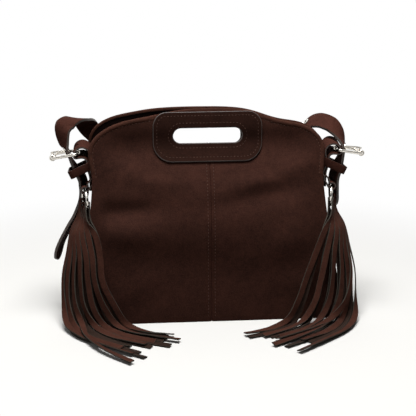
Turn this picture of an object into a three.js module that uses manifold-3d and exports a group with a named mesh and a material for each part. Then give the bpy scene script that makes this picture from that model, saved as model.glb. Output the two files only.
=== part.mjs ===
// Fringed suede handbag with a hand slot, a buckled shoulder strap and a lace tassel on each end.
// Millimetres, +Z up, front toward -Y, origin at the centre of the base underside.
import * as THREE from 'three';
import { mergeVertices } from 'three/addons/utils/BufferGeometryUtils.js';
import Module from 'manifold-3d';

const wasm = await Module();
wasm.setup();

// Clearance between pieces that touch
const GAP = 0.3;

// Bag body
const BASE_HALF_WIDTH = 148;
const BASE_HALF_DEPTH = 46;
const BASE_CORNER = 6;
const WAIST_HALF_WIDTH = 125.5;
const WAIST_HEIGHT = 155;
const RIM_HALF_WIDTH = 127;
const SHOULDER_HEIGHT = 183;
const TOP_HEIGHT = 226;
const TOP_HALF_DEPTH = 8;
const SIDE_FLARE = 1.3;
const SHOULDER_ROUNDNESS = 2.2;
const DEPTH_CURVE = 1.25;
const BELLY = 4;
const MOUTH_SKEW = 5;
const PANEL_THICKNESS = 2.4;
const GUSSET_THICKNESS = 2;
const GUSSET_INSET = 1.5;
const GUSSET_FOLD = 3;

// How a panel half is divided: the share of its side below the shoulder, and where its top ends
const SIDE_SHARE = 0.84;
const SHOULDER_TURN = 0.58;
const PANEL_COLUMNS = 7;
const PANEL_ROWS = 11;
const GUSSET_COLUMNS = 6;
const GUSSET_ROWS = 10;

// Handle patch and hand slot
const HANDLE_OFFSET = -1.5;
const PATCH_WIDTH = 119;
const PATCH_HEIGHT = 53;
const PATCH_DROP = 1.2;
const PATCH_TOP_CORNER = 15;
const PATCH_BOTTOM_CORNER = 20;
const PATCH_THICKNESS = 2.4;
const SLOT_LENGTH = 75;
const SLOT_HEIGHT = 16;
const SLOT_DROP = 26.5;
const PATCH_COLUMNS = 8;
const PATCH_ROWS = 4;

// Shoulder strap, as wide as the tabs that carry its buckles
const STRAP_WIDTH = 22;
const STRAP_THICKNESS = 3;
const STRAP_WINDOW_REACH = 10.4;
const STRAP_WINDOW_RUN = 7;
const STRAP_STEPS = 95;

// Buckle, the leather tab that carries it and the keeper below
const TAB_THICKNESS = 2.2;
const TAB_SEWN_LENGTH = 14;
const TAB_LOOP_RADIUS = 8.8;
const TAB_LOOP_OUT = 10.5;
const TAB_LOOP_RISE = 27;
const TAB_LOOP_END_DEG = -70;
const FRAME_LENGTH = 26;
const FRAME_WIRE = 3.2;
const FRAME_BEVEL = 0.96;
const FRAME_PLAY = 1.2;
const FRAME_INNER_CORNER = 0.4;
const FRAME_DROOP_DEG = 9;
const ROLLER_WALL = 1;
const ROLLER_PLAY = 0.8;
const ROLLER_END_PLAY = 1.2;
const PRONG_WIDTH = 2.4;
const PRONG_THICKNESS = 1.8;
const PRONG_EYE_WALL = 1.5;
const PRONG_EYE_PLAY = 0.4;
const PRONG_SLOT_PLAY = 1.2;
const PRONG_OVERHANG = 2;
const KEEPER_WIDTH = 9;
const KEEPER_THICKNESS = 1.8;
const KEEPER_PLAY = 0.9;
const KEEPER_CORNER = 2.5;
const KEEPER_INNER_CORNER = 0.7;
const KEEPER_TILT_DEG = 25;
const KEEPER_DROP = 17;

// Eyelets in the strap
const EYELET_BORE_RADIUS = 3.2;
const EYELET_WALL = 0.6;
const EYELET_FLANGE_RADIUS = 5.2;
const EYELET_FLANGE_THICKNESS = 0.7;
const EYELET_LIFT = 0.7;
const EYELET_PITCH_LEFT = 60;
const EYELET_PITCH_RIGHT = 82;

// Tassel ring, its loop and the fringe laces
const RING_RADIUS = 11;
const RING_WIRE = 2.8;
const RING_FORWARD = 14.8;
const RING_TURN_DEG = 15;
const RING_OUT = 10;
const RING_DROP = 12;
const LOOP_WIDTH = 7;
const LOOP_THICKNESS = 1.6;
const LOOP_PLAY = 1.5;
const LOOP_SEWN_LENGTH = 11;
const LACES_PER_TASSEL = 7;
const LACE_WIDTH = 5;
const LACE_THICKNESS = 1.4;
const LACE_SPREAD_DEG = 58;
const LACE_FOLD_GAP = 0.16;
const LAYER_GAP = 0.7;
const FLOOR_CLEARANCE = 0.8;
const UNDER_TUCK = 2.5;
const SHORTEST_TAIL = 0.91;
const TAIL_OPENS_FROM = 0.12;
const TAIL_OPENS_TO = 0.36;
const TAIL_STEPS = 12;
const TAIL_STEP_GROWTH = 1.25;
const FOLD_STEPS = 4;

// Finishes
const suede = new THREE.MeshStandardMaterial({ color: 0x3f2620, roughness: 0.95, metalness: 0 });
const trimSuede = new THREE.MeshStandardMaterial({ color: 0x46291f, roughness: 0.9, metalness: 0 });
const laceSuede = new THREE.MeshStandardMaterial({ color: 0x4a2b24, roughness: 0.95, metalness: 0 });
const nickel = new THREE.MeshStandardMaterial({ color: 0xd2cfc8, roughness: 0.18, metalness: 1 });

const radians = THREE.MathUtils.degToRad;
const mix = THREE.MathUtils.lerp;
const smooth = (value) => THREE.MathUtils.smoothstep(value, 0, 1);

// Half width of a panel at a height below the shoulder
function halfWidth(z) {
  const below = Math.max(0, BASE_CORNER - z);
  const corner = z < BASE_CORNER ? BASE_CORNER - Math.sqrt(BASE_CORNER ** 2 - below ** 2) : 0;
  if (z <= WAIST_HEIGHT) {
    const flare = (1 - z / WAIST_HEIGHT) ** SIDE_FLARE;
    return mix(WAIST_HALF_WIDTH, BASE_HALF_WIDTH, flare) - corner;
  }
  const rise = (z - WAIST_HEIGHT) / (SHOULDER_HEIGHT - WAIST_HEIGHT);
  return mix(WAIST_HALF_WIDTH, RIM_HALF_WIDTH, smooth(rise));
}

// Distance of a panel's outer face from the mid plane: deep at the base, shallow at the handle,
// with a soft belly, and the mouth a little wider open on the left
function halfDepth(x, z) {
  const rise = z / TOP_HEIGHT;
  const taper = mix(BASE_HALF_DEPTH, TOP_HALF_DEPTH, rise ** DEPTH_CURVE);
  const across = Math.cos(0.5 * Math.PI * THREE.MathUtils.clamp(x / BASE_HALF_WIDTH, -1, 1));
  const belly = BELLY * across ** 2 * Math.sin(Math.PI * Math.min(1, rise));
  return taper + belly - MOUTH_SKEW * (x / RIM_HALF_WIDTH) * rise ** 4;
}

// Point on the rounded top edge, from the centre (0) round the shoulder to the side (1)
function topEdge(turn) {
  const angle = 0.5 * Math.PI * turn;
  const power = 2 / SHOULDER_ROUNDNESS;
  const x = RIM_HALF_WIDTH * Math.sin(angle) ** power;
  const z = mix(SHOULDER_HEIGHT, TOP_HEIGHT, Math.max(0, Math.cos(angle)) ** power);
  return new THREE.Vector2(x, z);
}

// One half of a panel as a patch between its four edges: u runs out from the seam, v runs up
function sideEdge(v) {
  if (v < SIDE_SHARE) {
    const z = (v / SIDE_SHARE) * SHOULDER_HEIGHT;
    return new THREE.Vector2(halfWidth(z), z);
  }
  return topEdge(mix(1, SHOULDER_TURN, (v - SIDE_SHARE) / (1 - SIDE_SHARE)));
}

function panelPoint(u, v) {
  const seamX = GAP / 2;
  const bottom = new THREE.Vector2(mix(seamX, halfWidth(0), u), 0);
  const top = topEdge(u * SHOULDER_TURN);
  const seam = new THREE.Vector2(seamX, v * TOP_HEIGHT);
  const side = sideEdge(v);
  const corners = [
    [new THREE.Vector2(seamX, 0), (1 - u) * (1 - v)],
    [new THREE.Vector2(halfWidth(0), 0), u * (1 - v)],
    [topEdge(0), (1 - u) * v],
    [topEdge(SHOULDER_TURN), u * v],
  ];
  const point = bottom.multiplyScalar(1 - v).addScaledVector(top, v);
  point.addScaledVector(seam, 1 - u).addScaledVector(side, u);
  corners.forEach(([corner, weight]) => point.addScaledVector(corner, -weight));
  point.x = Math.max(seamX, point.x);
  return point;
}

// A closed sheet: a box of one layer whose points are placed by a function of u, w and v
function sheet(columns, rows, place) {
  const geometry = new THREE.BoxGeometry(1, 1, 1, columns, 1, rows);
  const position = geometry.getAttribute('position');
  for (let i = 0; i < position.count; i += 1) {
    const point = place(position.getX(i) + 0.5, position.getY(i) + 0.5, position.getZ(i) + 0.5);
    position.setXYZ(i, point.x, point.y, point.z);
  }
  return geometry;
}

// A flat strip along a path: each station has a point, a direction across and a width
function ribbon(stations, thickness) {
  const last = stations.length - 1;
  return sheet(1, last, (u, w, v) => {
    const index = Math.round(v * last);
    const { point, across, width } = stations[index];
    const ahead = stations[Math.min(last, index + 1)].point;
    const behind = stations[Math.max(0, index - 1)].point;
    const along = ahead.clone().sub(behind).normalize();
    const side = across.clone().addScaledVector(along, -across.dot(along)).normalize();
    const normal = along.clone().cross(side);
    return point.clone()
      .addScaledVector(side, (u - 0.5) * width)
      .addScaledVector(normal, (w - 0.5) * thickness);
  });
}

// Solids for joining and cutting, and back
function toSolid(geometry) {
  const bare = geometry.clone();
  bare.deleteAttribute('normal');
  bare.deleteAttribute('uv');
  const merged = mergeVertices(bare, 1e-4);
  const vertProperties = new Float32Array(merged.getAttribute('position').array);
  const triVerts = new Uint32Array(merged.getIndex().array);
  return new wasm.Manifold(new wasm.Mesh({ numProp: 3, vertProperties, triVerts }));
}

function toGeometry(solid) {
  const { vertProperties, triVerts } = solid.getMesh();
  const geometry = new THREE.BufferGeometry();
  geometry.setAttribute('position', new THREE.BufferAttribute(vertProperties, 3));
  geometry.setIndex(new THREE.BufferAttribute(triVerts, 1));
  geometry.computeVertexNormals();
  return geometry;
}

const cut = (geometry, tool) => toGeometry(toSolid(geometry).subtract(toSolid(tool)));
const trim = (geometry, tool) => toGeometry(toSolid(geometry).intersect(toSolid(tool)));

// A shape drawn in X and Z, extruded along Y about the mid plane
function prism(shape, width, curveSegments = 8) {
  const geometry = new THREE.ExtrudeGeometry(shape, { depth: width, bevelEnabled: false, curveSegments });
  return geometry.rotateX(Math.PI / 2).translate(0, width / 2, 0);
}

function roundedRectangle(left, right, bottom, top, bottomRadius, topRadius = bottomRadius) {
  const shape = new THREE.Shape();
  shape.moveTo(left + bottomRadius, bottom);
  shape.lineTo(right - bottomRadius, bottom);
  shape.absarc(right - bottomRadius, bottom + bottomRadius, bottomRadius, -Math.PI / 2, 0);
  shape.lineTo(right, top - topRadius);
  shape.absarc(right - topRadius, top - topRadius, topRadius, 0, Math.PI / 2);
  shape.lineTo(left + topRadius, top);
  shape.absarc(left + topRadius, top - topRadius, topRadius, Math.PI / 2, Math.PI);
  shape.lineTo(left, bottom + bottomRadius);
  shape.absarc(left + bottomRadius, bottom + bottomRadius, bottomRadius, Math.PI, 1.5 * Math.PI);
  return shape;
}

// A strip of even thickness bent along a line drawn in X and Z
function bentStrip(line, thickness, width) {
  const last = line.length - 1;
  const edge = (sign) => line.map((point, i) => {
    const along = line[Math.min(last, i + 1)].clone().sub(line[Math.max(0, i - 1)]).normalize();
    return new THREE.Vector2(
      point.x - along.y * sign * 0.5 * thickness,
      point.y + along.x * sign * 0.5 * thickness,
    );
  });
  return prism(new THREE.Shape([...edge(-1), ...edge(1).reverse()]), width);
}

function arcPoints(x, z, radius, fromDeg, toDeg, steps) {
  return Array.from({ length: steps + 1 }, (_, i) => {
    const angle = radians(mix(fromDeg, toDeg, i / steps));
    return new THREE.Vector2(x + radius * Math.cos(angle), z + radius * Math.sin(angle));
  });
}

const bag = new THREE.Group();

function addPiece(parent, name, geometry, material) {
  const mesh = new THREE.Mesh(geometry, material);
  mesh.name = name;
  parent.add(mesh);
  return mesh;
}

// Front and back panels: four halves with the hand slot cut through
function handSlot() {
  const middle = TOP_HEIGHT - SLOT_DROP;
  const radius = SLOT_HEIGHT / 2;
  const straight = SLOT_LENGTH / 2 - radius;
  const shape = new THREE.Shape();
  shape.absarc(HANDLE_OFFSET + straight, middle, radius, -Math.PI / 2, Math.PI / 2);
  shape.absarc(HANDLE_OFFSET - straight, middle, radius, Math.PI / 2, 1.5 * Math.PI);
  return prism(shape, 4 * BASE_HALF_DEPTH, 10);
}

function panelHalf(face, side) {
  const geometry = sheet(PANEL_COLUMNS, PANEL_ROWS, (u, w, v) => {
    const outward = side > 0 ? u : 1 - u;
    const { x, y: z } = panelPoint(outward, v);
    const depth = halfDepth(side * x, z);
    const inward = face < 0 ? w : 1 - w;
    return new THREE.Vector3(side * x, face * (depth - inward * PANEL_THICKNESS), z);
  });
  return cut(geometry, handSlot());
}

for (const [faceName, face] of [['front', -1], ['back', 1]]) {
  for (const [sideName, side] of [['left', -1], ['right', 1]]) {
    addPiece(bag, `${faceName}_panel_${sideName}`, panelHalf(face, side), suede);
  }
}

// Base panel, between the two panels
const baseHalfLength = BASE_HALF_WIDTH - BASE_CORNER;
const baseHalfDepth = BASE_HALF_DEPTH - PANEL_THICKNESS - GAP;
const base = new THREE.BoxGeometry(2 * baseHalfLength, 2 * baseHalfDepth, PANEL_THICKNESS);
addPiece(bag, 'base_panel', base.translate(0, 0, PANEL_THICKNESS / 2), suede);

// Handle patches: sheets that lie on the panels, trimmed to a rounded outline, with the slot through
function handlePatch(face) {
  const top = TOP_HEIGHT - PATCH_DROP;
  const left = HANDLE_OFFSET - PATCH_WIDTH / 2;
  const geometry = sheet(PATCH_COLUMNS, PATCH_ROWS, (u, w, v) => {
    const x = left + u * PATCH_WIDTH;
    const z = top - (1 - v) * PATCH_HEIGHT;
    const lift = face < 0 ? 1 - w : w;
    return new THREE.Vector3(x, face * (halfDepth(x, z) + GAP + lift * PATCH_THICKNESS), z);
  });
  const outline = roundedRectangle(
    left, left + PATCH_WIDTH, top - PATCH_HEIGHT, top, PATCH_BOTTOM_CORNER, PATCH_TOP_CORNER,
  );
  return cut(trim(geometry, prism(outline, 4 * BASE_HALF_DEPTH, 4)), handSlot());
}

addPiece(bag, 'front_handle_patch', handlePatch(-1), trimSuede);
addPiece(bag, 'back_handle_patch', handlePatch(1), trimSuede);

// Places shared by the pieces on each end, measured outward from the mid plane
const gussetBottom = PANEL_THICKNESS + GAP;
function gussetFace(z, share) {
  const fold = GUSSET_FOLD * (z / WAIST_HEIGHT) * (1 - share ** 2);
  return halfWidth(z) - GUSSET_INSET - fold;
}
const gussetRim = gussetFace(WAIST_HEIGHT - TAB_SEWN_LENGTH, 1);
const tabStemX = gussetRim + GAP + TAB_THICKNESS / 2;
const tabLoopX = tabStemX + TAB_LOOP_OUT;
const tabLoopZ = WAIST_HEIGHT + TAB_LOOP_RISE;
const tabHoleRadius = TAB_LOOP_RADIUS - TAB_THICKNESS / 2;
const heelX = tabLoopX + tabHoleRadius - FRAME_WIRE / 2 - GAP;
const heelZ = tabLoopZ;
const droop = radians(FRAME_DROOP_DEG);
const frameInside = STRAP_WIDTH / 2 + FRAME_PLAY;
const rollerBore = FRAME_WIRE / 2 + ROLLER_PLAY;
const rollerRadius = rollerBore + ROLLER_WALL;
const prongBore = FRAME_WIRE / 2 + PRONG_EYE_PLAY;
const prongEyeRadius = prongBore + PRONG_EYE_WALL;
const ringX = gussetRim + RING_OUT;
const ringZ = WAIST_HEIGHT - RING_DROP - RING_RADIUS;

// Gusset: a sheet between the panels' inner faces, folded in a little toward the mouth
function gusset(side) {
  return sheet(GUSSET_COLUMNS, GUSSET_ROWS, (u, w, v) => {
    const z = mix(gussetBottom, WAIST_HEIGHT, v);
    const share = 2 * w - 1;
    const reach = halfDepth(side * halfWidth(z), z) - PANEL_THICKNESS - GAP;
    const x = gussetFace(z, share) - (1 - u) * GUSSET_THICKNESS;
    return new THREE.Vector3(x, share * reach, z);
  });
}

// Buckle tab: a strip sewn to the gusset that loops over the buckle's heel bar and returns,
// slotted where the prong turns
function buckleTab() {
  const foot = WAIST_HEIGHT - TAB_SEWN_LENGTH;
  const returnX = tabStemX + TAB_THICKNESS + GAP;
  const left = tabLoopX - TAB_LOOP_RADIUS;
  const halfway = mix(WAIST_HEIGHT, tabLoopZ, 0.5);
  const rise = new THREE.CubicBezierCurve(
    new THREE.Vector2(tabStemX, WAIST_HEIGHT),
    new THREE.Vector2(tabStemX, halfway),
    new THREE.Vector2(left, halfway),
    new THREE.Vector2(left, tabLoopZ),
  );
  const around = arcPoints(tabLoopX, tabLoopZ, TAB_LOOP_RADIUS, 180, TAB_LOOP_END_DEG, 16);
  const end = around[around.length - 1];
  const back = new THREE.CubicBezierCurve(
    end.clone(),
    new THREE.Vector2(mix(end.x, returnX, 0.6), end.y - 0.3 * TAB_LOOP_RADIUS),
    new THREE.Vector2(returnX, mix(WAIST_HEIGHT, end.y, 0.7)),
    new THREE.Vector2(returnX, WAIST_HEIGHT),
  );
  const line = [
    new THREE.Vector2(tabStemX, foot),
    ...rise.getPoints(4),
    ...around.slice(1),
    ...back.getPoints(5).slice(1),
    new THREE.Vector2(returnX, foot),
  ];
  const slotSide = 2 * TAB_LOOP_RADIUS;
  const slot = new THREE.BoxGeometry(slotSide, PRONG_WIDTH + PRONG_SLOT_PLAY, slotSide);
  const slotStart = heelX - prongEyeRadius - PRONG_SLOT_PLAY;
  slot.translate(slotStart + TAB_LOOP_RADIUS, 0, tabLoopZ);
  return cut(bentStrip(line, TAB_THICKNESS, STRAP_WIDTH), slot);
}

// Roller buckle, drawn flat about its heel bar and then let droop
function buckleFrame() {
  const half = FRAME_WIRE / 2;
  const outside = frameInside + FRAME_WIRE;
  const corner = FRAME_INNER_CORNER + FRAME_WIRE;
  const inner = roundedRectangle(
    half, FRAME_LENGTH - half, -frameInside, frameInside, FRAME_INNER_CORNER,
  );
  const outer = roundedRectangle(-half, FRAME_LENGTH + half, -outside, outside, corner);
  outer.holes.push(inner);
  const geometry = new THREE.ExtrudeGeometry(outer, {
    depth: FRAME_WIRE - 2 * FRAME_BEVEL,
    bevelEnabled: true,
    bevelSize: FRAME_BEVEL,
    bevelOffset: -FRAME_BEVEL,
    bevelThickness: FRAME_BEVEL,
    bevelSegments: 1,
    curveSegments: 2,
  });
  return geometry.translate(0, 0, FRAME_BEVEL - half);
}

function lathe(profile, segments) {
  const points = profile.map(([radius, height]) => new THREE.Vector2(radius, height));
  return new THREE.LatheGeometry([...points, points[0].clone()], segments);
}

function buckleRoller() {
  const half = frameInside - ROLLER_END_PLAY;
  const profile = [[rollerBore, -half], [rollerRadius, -half], [rollerRadius, half], [rollerBore, half]];
  return lathe(profile, 14).translate(FRAME_LENGTH, 0, 0);
}

function buckleProng() {
  const eye = prongEyeRadius;
  const bend = FRAME_LENGTH - rollerRadius;
  const tipX = FRAME_LENGTH + PRONG_OVERHANG;
  const tipZ = rollerRadius + GAP;
  const shape = new THREE.Shape();
  shape.moveTo(0, eye);
  shape.absarc(0, 0, eye, Math.PI / 2, 2 * Math.PI);
  shape.lineTo(eye, tipZ - PRONG_THICKNESS);
  shape.lineTo(bend, tipZ);
  shape.lineTo(tipX, tipZ);
  shape.lineTo(tipX, tipZ + 0.5 * PRONG_THICKNESS);
  shape.lineTo(bend, tipZ + PRONG_THICKNESS);
  shape.lineTo(eye, tipZ);
  const hole = new THREE.Path();
  hole.absarc(0, 0, prongBore, 0, 2 * Math.PI, true);
  shape.holes.push(hole);
  return prism(shape, PRONG_WIDTH, 8);
}

// Keeper: a tilted loop round the tab and the strap's tail
function keeper() {
  const tilt = radians(KEEPER_TILT_DEG);
  const strapReach = tailReach(tilt);
  const inner = -(tabLoopX - tabStemX + TAB_THICKNESS + KEEPER_WIDTH * Math.sin(tilt));
  const outer = strapReach + STRAP_THICKNESS / 2 + GAP;
  const half = STRAP_WIDTH / 2 + KEEPER_PLAY;
  const wall = KEEPER_THICKNESS;
  const ring = roundedRectangle(inner - wall, outer + wall, -half - wall, half + wall, KEEPER_CORNER);
  ring.holes.push(roundedRectangle(inner, outer, -half, half, KEEPER_INNER_CORNER));
  const settings = { depth: KEEPER_WIDTH, bevelEnabled: false, curveSegments: 3 };
  const geometry = new THREE.ExtrudeGeometry(ring, settings).translate(0, 0, -KEEPER_WIDTH / 2);
  return geometry.rotateY(tilt).translate(tabLoopX, 0, tabLoopZ - KEEPER_DROP);
}

// Tassel ring, standing on edge and turned a little toward the front
const ringTurn = radians(RING_TURN_DEG);
const ringAxis = new THREE.Vector3(Math.cos(ringTurn), -Math.sin(ringTurn), 0);
const ringAcross = new THREE.Vector3(Math.sin(ringTurn), Math.cos(ringTurn), 0);
const ringCentre = new THREE.Vector3(ringX, -RING_FORWARD, ringZ);

function tasselRing() {
  const geometry = new THREE.TorusGeometry(RING_RADIUS, RING_WIRE / 2, 7, 22);
  geometry.rotateY(Math.PI / 2).rotateZ(-ringTurn);
  return geometry.translate(ringCentre.x, ringCentre.y, ringCentre.z);
}

// Ring loop: a narrow strip sewn to the gusset, folded round the top of the ring
function ringLoop() {
  const radius = RING_WIRE / 2 + LOOP_PLAY + LOOP_THICKNESS / 2;
  const wireZ = ringZ + RING_RADIUS;
  const stemX = gussetRim + GAP + LOOP_THICKNESS / 2;
  const around = arcPoints(ringX, wireZ, radius, 130, -170, 12).reverse();
  const top = WAIST_HEIGHT;
  const sewnFoot = top - LOOP_SEWN_LENGTH + LOOP_THICKNESS;
  const line = [
    new THREE.Vector2(stemX, top),
    new THREE.Vector2(stemX, mix(top, sewnFoot, 0.5)),
    new THREE.Vector2(mix(stemX, ringX - radius, 0.5), mix(top, sewnFoot, 0.9)),
    ...around,
    new THREE.Vector2(mix(stemX, ringX, 0.45) + LOOP_THICKNESS, mix(wireZ, top, 0.62)),
    new THREE.Vector2(stemX + LOOP_THICKNESS + GAP, top),
  ];
  const strip = bentStrip(line, LOOP_THICKNESS, LOOP_WIDTH);
  return strip.translate(0, -RING_FORWARD, 0);
}

// Fringe: each tail follows a fan of three guide lines (inner, middle, outer) from the ring down to
// the floor and forward along it. A station is how far out past the bag's side edge at its height,
// how far forward of the base, and how high.
const layerDrop = LACE_THICKNESS + LAYER_GAP;
const floorTop = LACE_THICKNESS / 2 + FLOOR_CLEARANCE + layerDrop;
const belowRing = ringZ - RING_RADIUS;
const innerGuide = [
  [6.7, -12, belowRing - 8], [-6.5, -1.5, belowRing - 22], [-20, 4, 78], [-31.7, 10, 52],
  [-46.2, 16, 26], [-61.5, 21, 8], [-80.8, 32, floorTop], [-100.8, 41, floorTop], [-118.8, 46, floorTop],
];
const middleGuide = [
  [8.9, -27, belowRing - 8], [9, -13, belowRing - 22], [3.4, -2, 78], [-0.7, 4, 52],
  [-9.2, 12, 26], [-24.5, 20, 8], [-42.8, 36, floorTop], [-67.8, 54, floorTop], [-96.8, 71, floorTop],
];
const outerGuide = [
  [10.7, -39.5, belowRing - 8], [17.5, -30, belowRing - 22], [20.4, -22, 78], [21.8, -16, 52],
  [16.3, -5, 26], [7.5, 14, 8], [-8.8, 41, floorTop], [-36.8, 69, floorTop], [-70.8, 99, floorTop],
];
// How far the tails of the under layer lie behind those of the upper layer at each station
const underLayer = [
  [-4, -0.6, 0], [-3, -2, 0], [-2.7, -4.2, 0], [-2.4, -4.9, 0], [-1.7, -4.7, 0],
  [-0.8, -3, -3.2], [0, 0, -layerDrop], [0, 0, -layerDrop], [0, 0, -layerDrop],
];

function guidePoint(share, index) {
  const weights = [
    2 * (share - 0.5) * (share - 1),
    4 * share * (1 - share),
    2 * share * (share - 0.5),
  ];
  const point = new THREE.Vector3();
  [innerGuide, middleGuide, outerGuide].forEach((guide, i) => {
    const [past, forward, up] = guide[index];
    const station = new THREE.Vector3(halfWidth(up) + past, -BASE_HALF_DEPTH - forward, up);
    point.addScaledVector(station, weights[i]);
  });
  return point;
}

// Where a lace crosses the ring's wire, with the wire's direction and the way to the ring's middle
function ringSeat(share) {
  const angle = radians(mix(-LACE_SPREAD_DEG, LACE_SPREAD_DEG, share));
  const inward = ringAcross.clone().multiplyScalar(-Math.sin(angle));
  inward.z = Math.cos(angle);
  const along = ringAcross.clone().multiplyScalar(Math.cos(angle));
  along.z = Math.sin(angle);
  return { point: ringCentre.clone().addScaledVector(inward, -RING_RADIUS), inward, along };
}

const foldRadius = RING_WIRE / 2 + GAP + LACE_THICKNESS / 2;
const foldArc = 2 * radians(LACE_SPREAD_DEG) * (RING_RADIUS - foldRadius - LACE_THICKNESS / 2);
const foldWidth = foldArc / (LACES_PER_TASSEL - 1) - LACE_FOLD_GAP;

function tailCurve(seatShare, share, layer) {
  const seat = ringSeat(seatShare);
  const start = seat.point.addScaledVector(ringAxis, layer * foldRadius);
  const points = innerGuide.map((_, i) => {
    const point = guidePoint(share, i);
    const [out, forward, up] = underLayer[i];
    const tuck = i === 0 ? UNDER_TUCK * share : 0;
    return layer > 0 ? point : point.add(new THREE.Vector3(out - tuck, tuck - forward, up));
  });
  return new THREE.CatmullRomCurve3([start, ...points], false, 'centripetal');
}

function tailStations(seatShare, share, layer, length) {
  const nudge = 0.02;
  const curve = tailCurve(seatShare, share, layer);
  const lower = tailCurve(seatShare - nudge, share - nudge, layer);
  const upper = tailCurve(seatShare + nudge, share + nudge, layer);
  return Array.from({ length: TAIL_STEPS }, (_, i) => {
    const t = length * ((i + 1) / TAIL_STEPS) ** TAIL_STEP_GROWTH;
    const opened = THREE.MathUtils.smoothstep(t, TAIL_OPENS_FROM, TAIL_OPENS_TO);
    return {
      point: curve.getPoint(t),
      across: upper.getPoint(t).sub(lower.getPoint(t)),
      width: mix(foldWidth, LACE_WIDTH, opened),
    };
  });
}

function fringeLace(index, side) {
  const step = 1 / (LACES_PER_TASSEL - 1);
  const share = index * step;
  const underShare = (index + 0.5) / LACES_PER_TASSEL;
  const seat = ringSeat(share);
  const stagger = (turn) => mix(SHORTEST_TAIL, 1, 0.5 + 0.5 * Math.sin(turn));
  const upperTail = tailStations(share, share, 1, stagger(2.3 * index + side));
  const underTail = tailStations(share, underShare, -1, stagger(1.7 * index + 2 * side));
  const fold = Array.from({ length: FOLD_STEPS + 1 }, (_, i) => {
    const angle = (Math.PI * i) / FOLD_STEPS;
    const point = seat.point.clone()
      .addScaledVector(ringAxis, foldRadius * Math.cos(angle))
      .addScaledVector(seat.inward, foldRadius * Math.sin(angle));
    return { point, across: seat.along, width: foldWidth };
  });
  return ribbon([...upperTail.reverse(), ...fold, ...underTail], LACE_THICKNESS);
}

// Shoulder strap: from the left tail up through the left buckle, over, down behind the bag,
// along the floor, and back up to the right buckle and tail.
// Each stop is a place and the direction across the strap there.
const windowX = heelX + STRAP_WINDOW_REACH * Math.cos(droop) + rollerRadius * Math.sin(droop);
const windowZ = heelZ - STRAP_WINDOW_REACH * Math.sin(droop) + rollerRadius * Math.cos(droop);
const runX = STRAP_WINDOW_RUN * Math.sin(droop);
const runZ = STRAP_WINDOW_RUN * Math.cos(droop);
const tailX = ringX + 7.5;
const behind = BASE_HALF_DEPTH;
const strapRest = STRAP_THICKNESS / 2 + 2 * GAP;
const strapStops = [
  [[-halfWidth(62) - 31, 5, 62], [0, 1, 0]],
  [[-halfWidth(78) - 26.5, 5, 78], [0, 1, 0]],
  [[-halfWidth(98) - 20.5, 5, 98], [0, 1, 0]],
  [[-tailX - 2.5, 8, ringZ - 12], [0, 1, 0]],
  [[-tailX, 6, ringZ + 6], [0, 1, 0]],
  [[-tailX - 0.5, 0, WAIST_HEIGHT - 2], [0, 1, 0]],
  [[runX - windowX, 0, windowZ - runZ], [0, 1, 0]],
  [[-windowX, 0, windowZ], [0, 1, 0]],
  [[-runX - windowX, 0, windowZ + runZ], [-0.15, 1, 0]],
  [[-windowX - 3, 1, windowZ + 22], [-0.6, 0.8, 0.1]],
  [[-windowX + 2.5, 7, windowZ + 30], [-0.7, 0.7, 0.1]],
  [[-windowX + 12.5, 18, windowZ + 33], [-0.65, 0.75, 0.1]],
  [[-windowX + 22.5, 30, windowZ + 25], [-0.55, 0.85, 0.1]],
  [[-windowX + 29.5, 39, windowZ + 9], [-0.4, 0.9, 0.1]],
  [[-windowX + 36.5, behind + 2, windowZ - 19], [-0.2, 1, 0]],
  [[-110, behind + 10, 120], [0, 1, 0]],
  [[-101, behind + 16, 70], [0, 1, 0]],
  [[-84, behind + 20, 28], [0, 1, 0]],
  [[-58, behind + 22, strapRest + 4], [0, 1, 0]],
  [[-30, behind + 23, strapRest], [0, 1, 0]],
  [[0, behind + 24, strapRest], [0, 1, 0]],
  [[30, behind + 23, strapRest], [0, 1, 0]],
  [[58, behind + 22, strapRest + 4], [0, 1, 0]],
  [[82, behind + 20, 28], [0, 1, 0]],
  [[97, behind + 16, 70], [0, 1, 0]],
  [[103, behind + 10, 120], [0, 1, 0]],
  [[windowX - 48.5, behind + 1, windowZ - 24], [0.1, 1, 0.1]],
  [[windowX - 46.5, 36, windowZ + 3], [0.3, 0.85, 0.3]],
  [[windowX - 39.5, 26, windowZ + 20], [0.4, 0.75, 0.5]],
  [[windowX - 29.5, 17, windowZ + 27.5], [0.42, 0.7, 0.57]],
  [[windowX - 18.5, 9, windowZ + 27], [0.42, 0.75, 0.5]],
  [[windowX - 7.5, 3, windowZ + 19], [0.25, 0.9, 0.25]],
  [[windowX + runX, 0, windowZ + runZ], [0.05, 1, 0]],
  [[windowX, 0, windowZ], [0, 1, 0]],
  [[windowX - runX, 0, windowZ - runZ], [0, 1, 0]],
  [[tailX + 0.5, 0, WAIST_HEIGHT - 2], [0, 1, 0]],
  [[tailX, 6, ringZ + 6], [0, 1, 0]],
  [[tailX + 1, 8, ringZ - 7], [0, 1, 0]],
  [[tailX + 2, 8, ringZ - 20], [0, 1, 0]],
];
const LEFT_WINDOW_STOP = 7;
const RIGHT_WINDOW_STOP = 33;
const strapLine = new THREE.CatmullRomCurve3(
  strapStops.map(([place]) => new THREE.Vector3(...place)), false, 'centripetal',
);

// Station on the strap at a place counted in stops
function strapStation(stop) {
  const last = strapStops.length - 1;
  const low = Math.min(last - 1, Math.floor(stop));
  const from = new THREE.Vector3(...strapStops[low][1]);
  const across = from.lerp(new THREE.Vector3(...strapStops[low + 1][1]), stop - low);
  return { point: strapLine.getPoint(stop / last), across, width: STRAP_WIDTH };
}

// The stop that lies a length along the strap from another stop
function stopAlong(stop, length) {
  const step = 0.01 * Math.sign(length);
  let travelled = 0;
  let place = stop;
  let point = strapStation(place).point;
  while (travelled < Math.abs(length)) {
    place += step;
    const next = strapStation(place).point;
    travelled += next.distanceTo(point);
    point = next;
  }
  return place;
}

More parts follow.
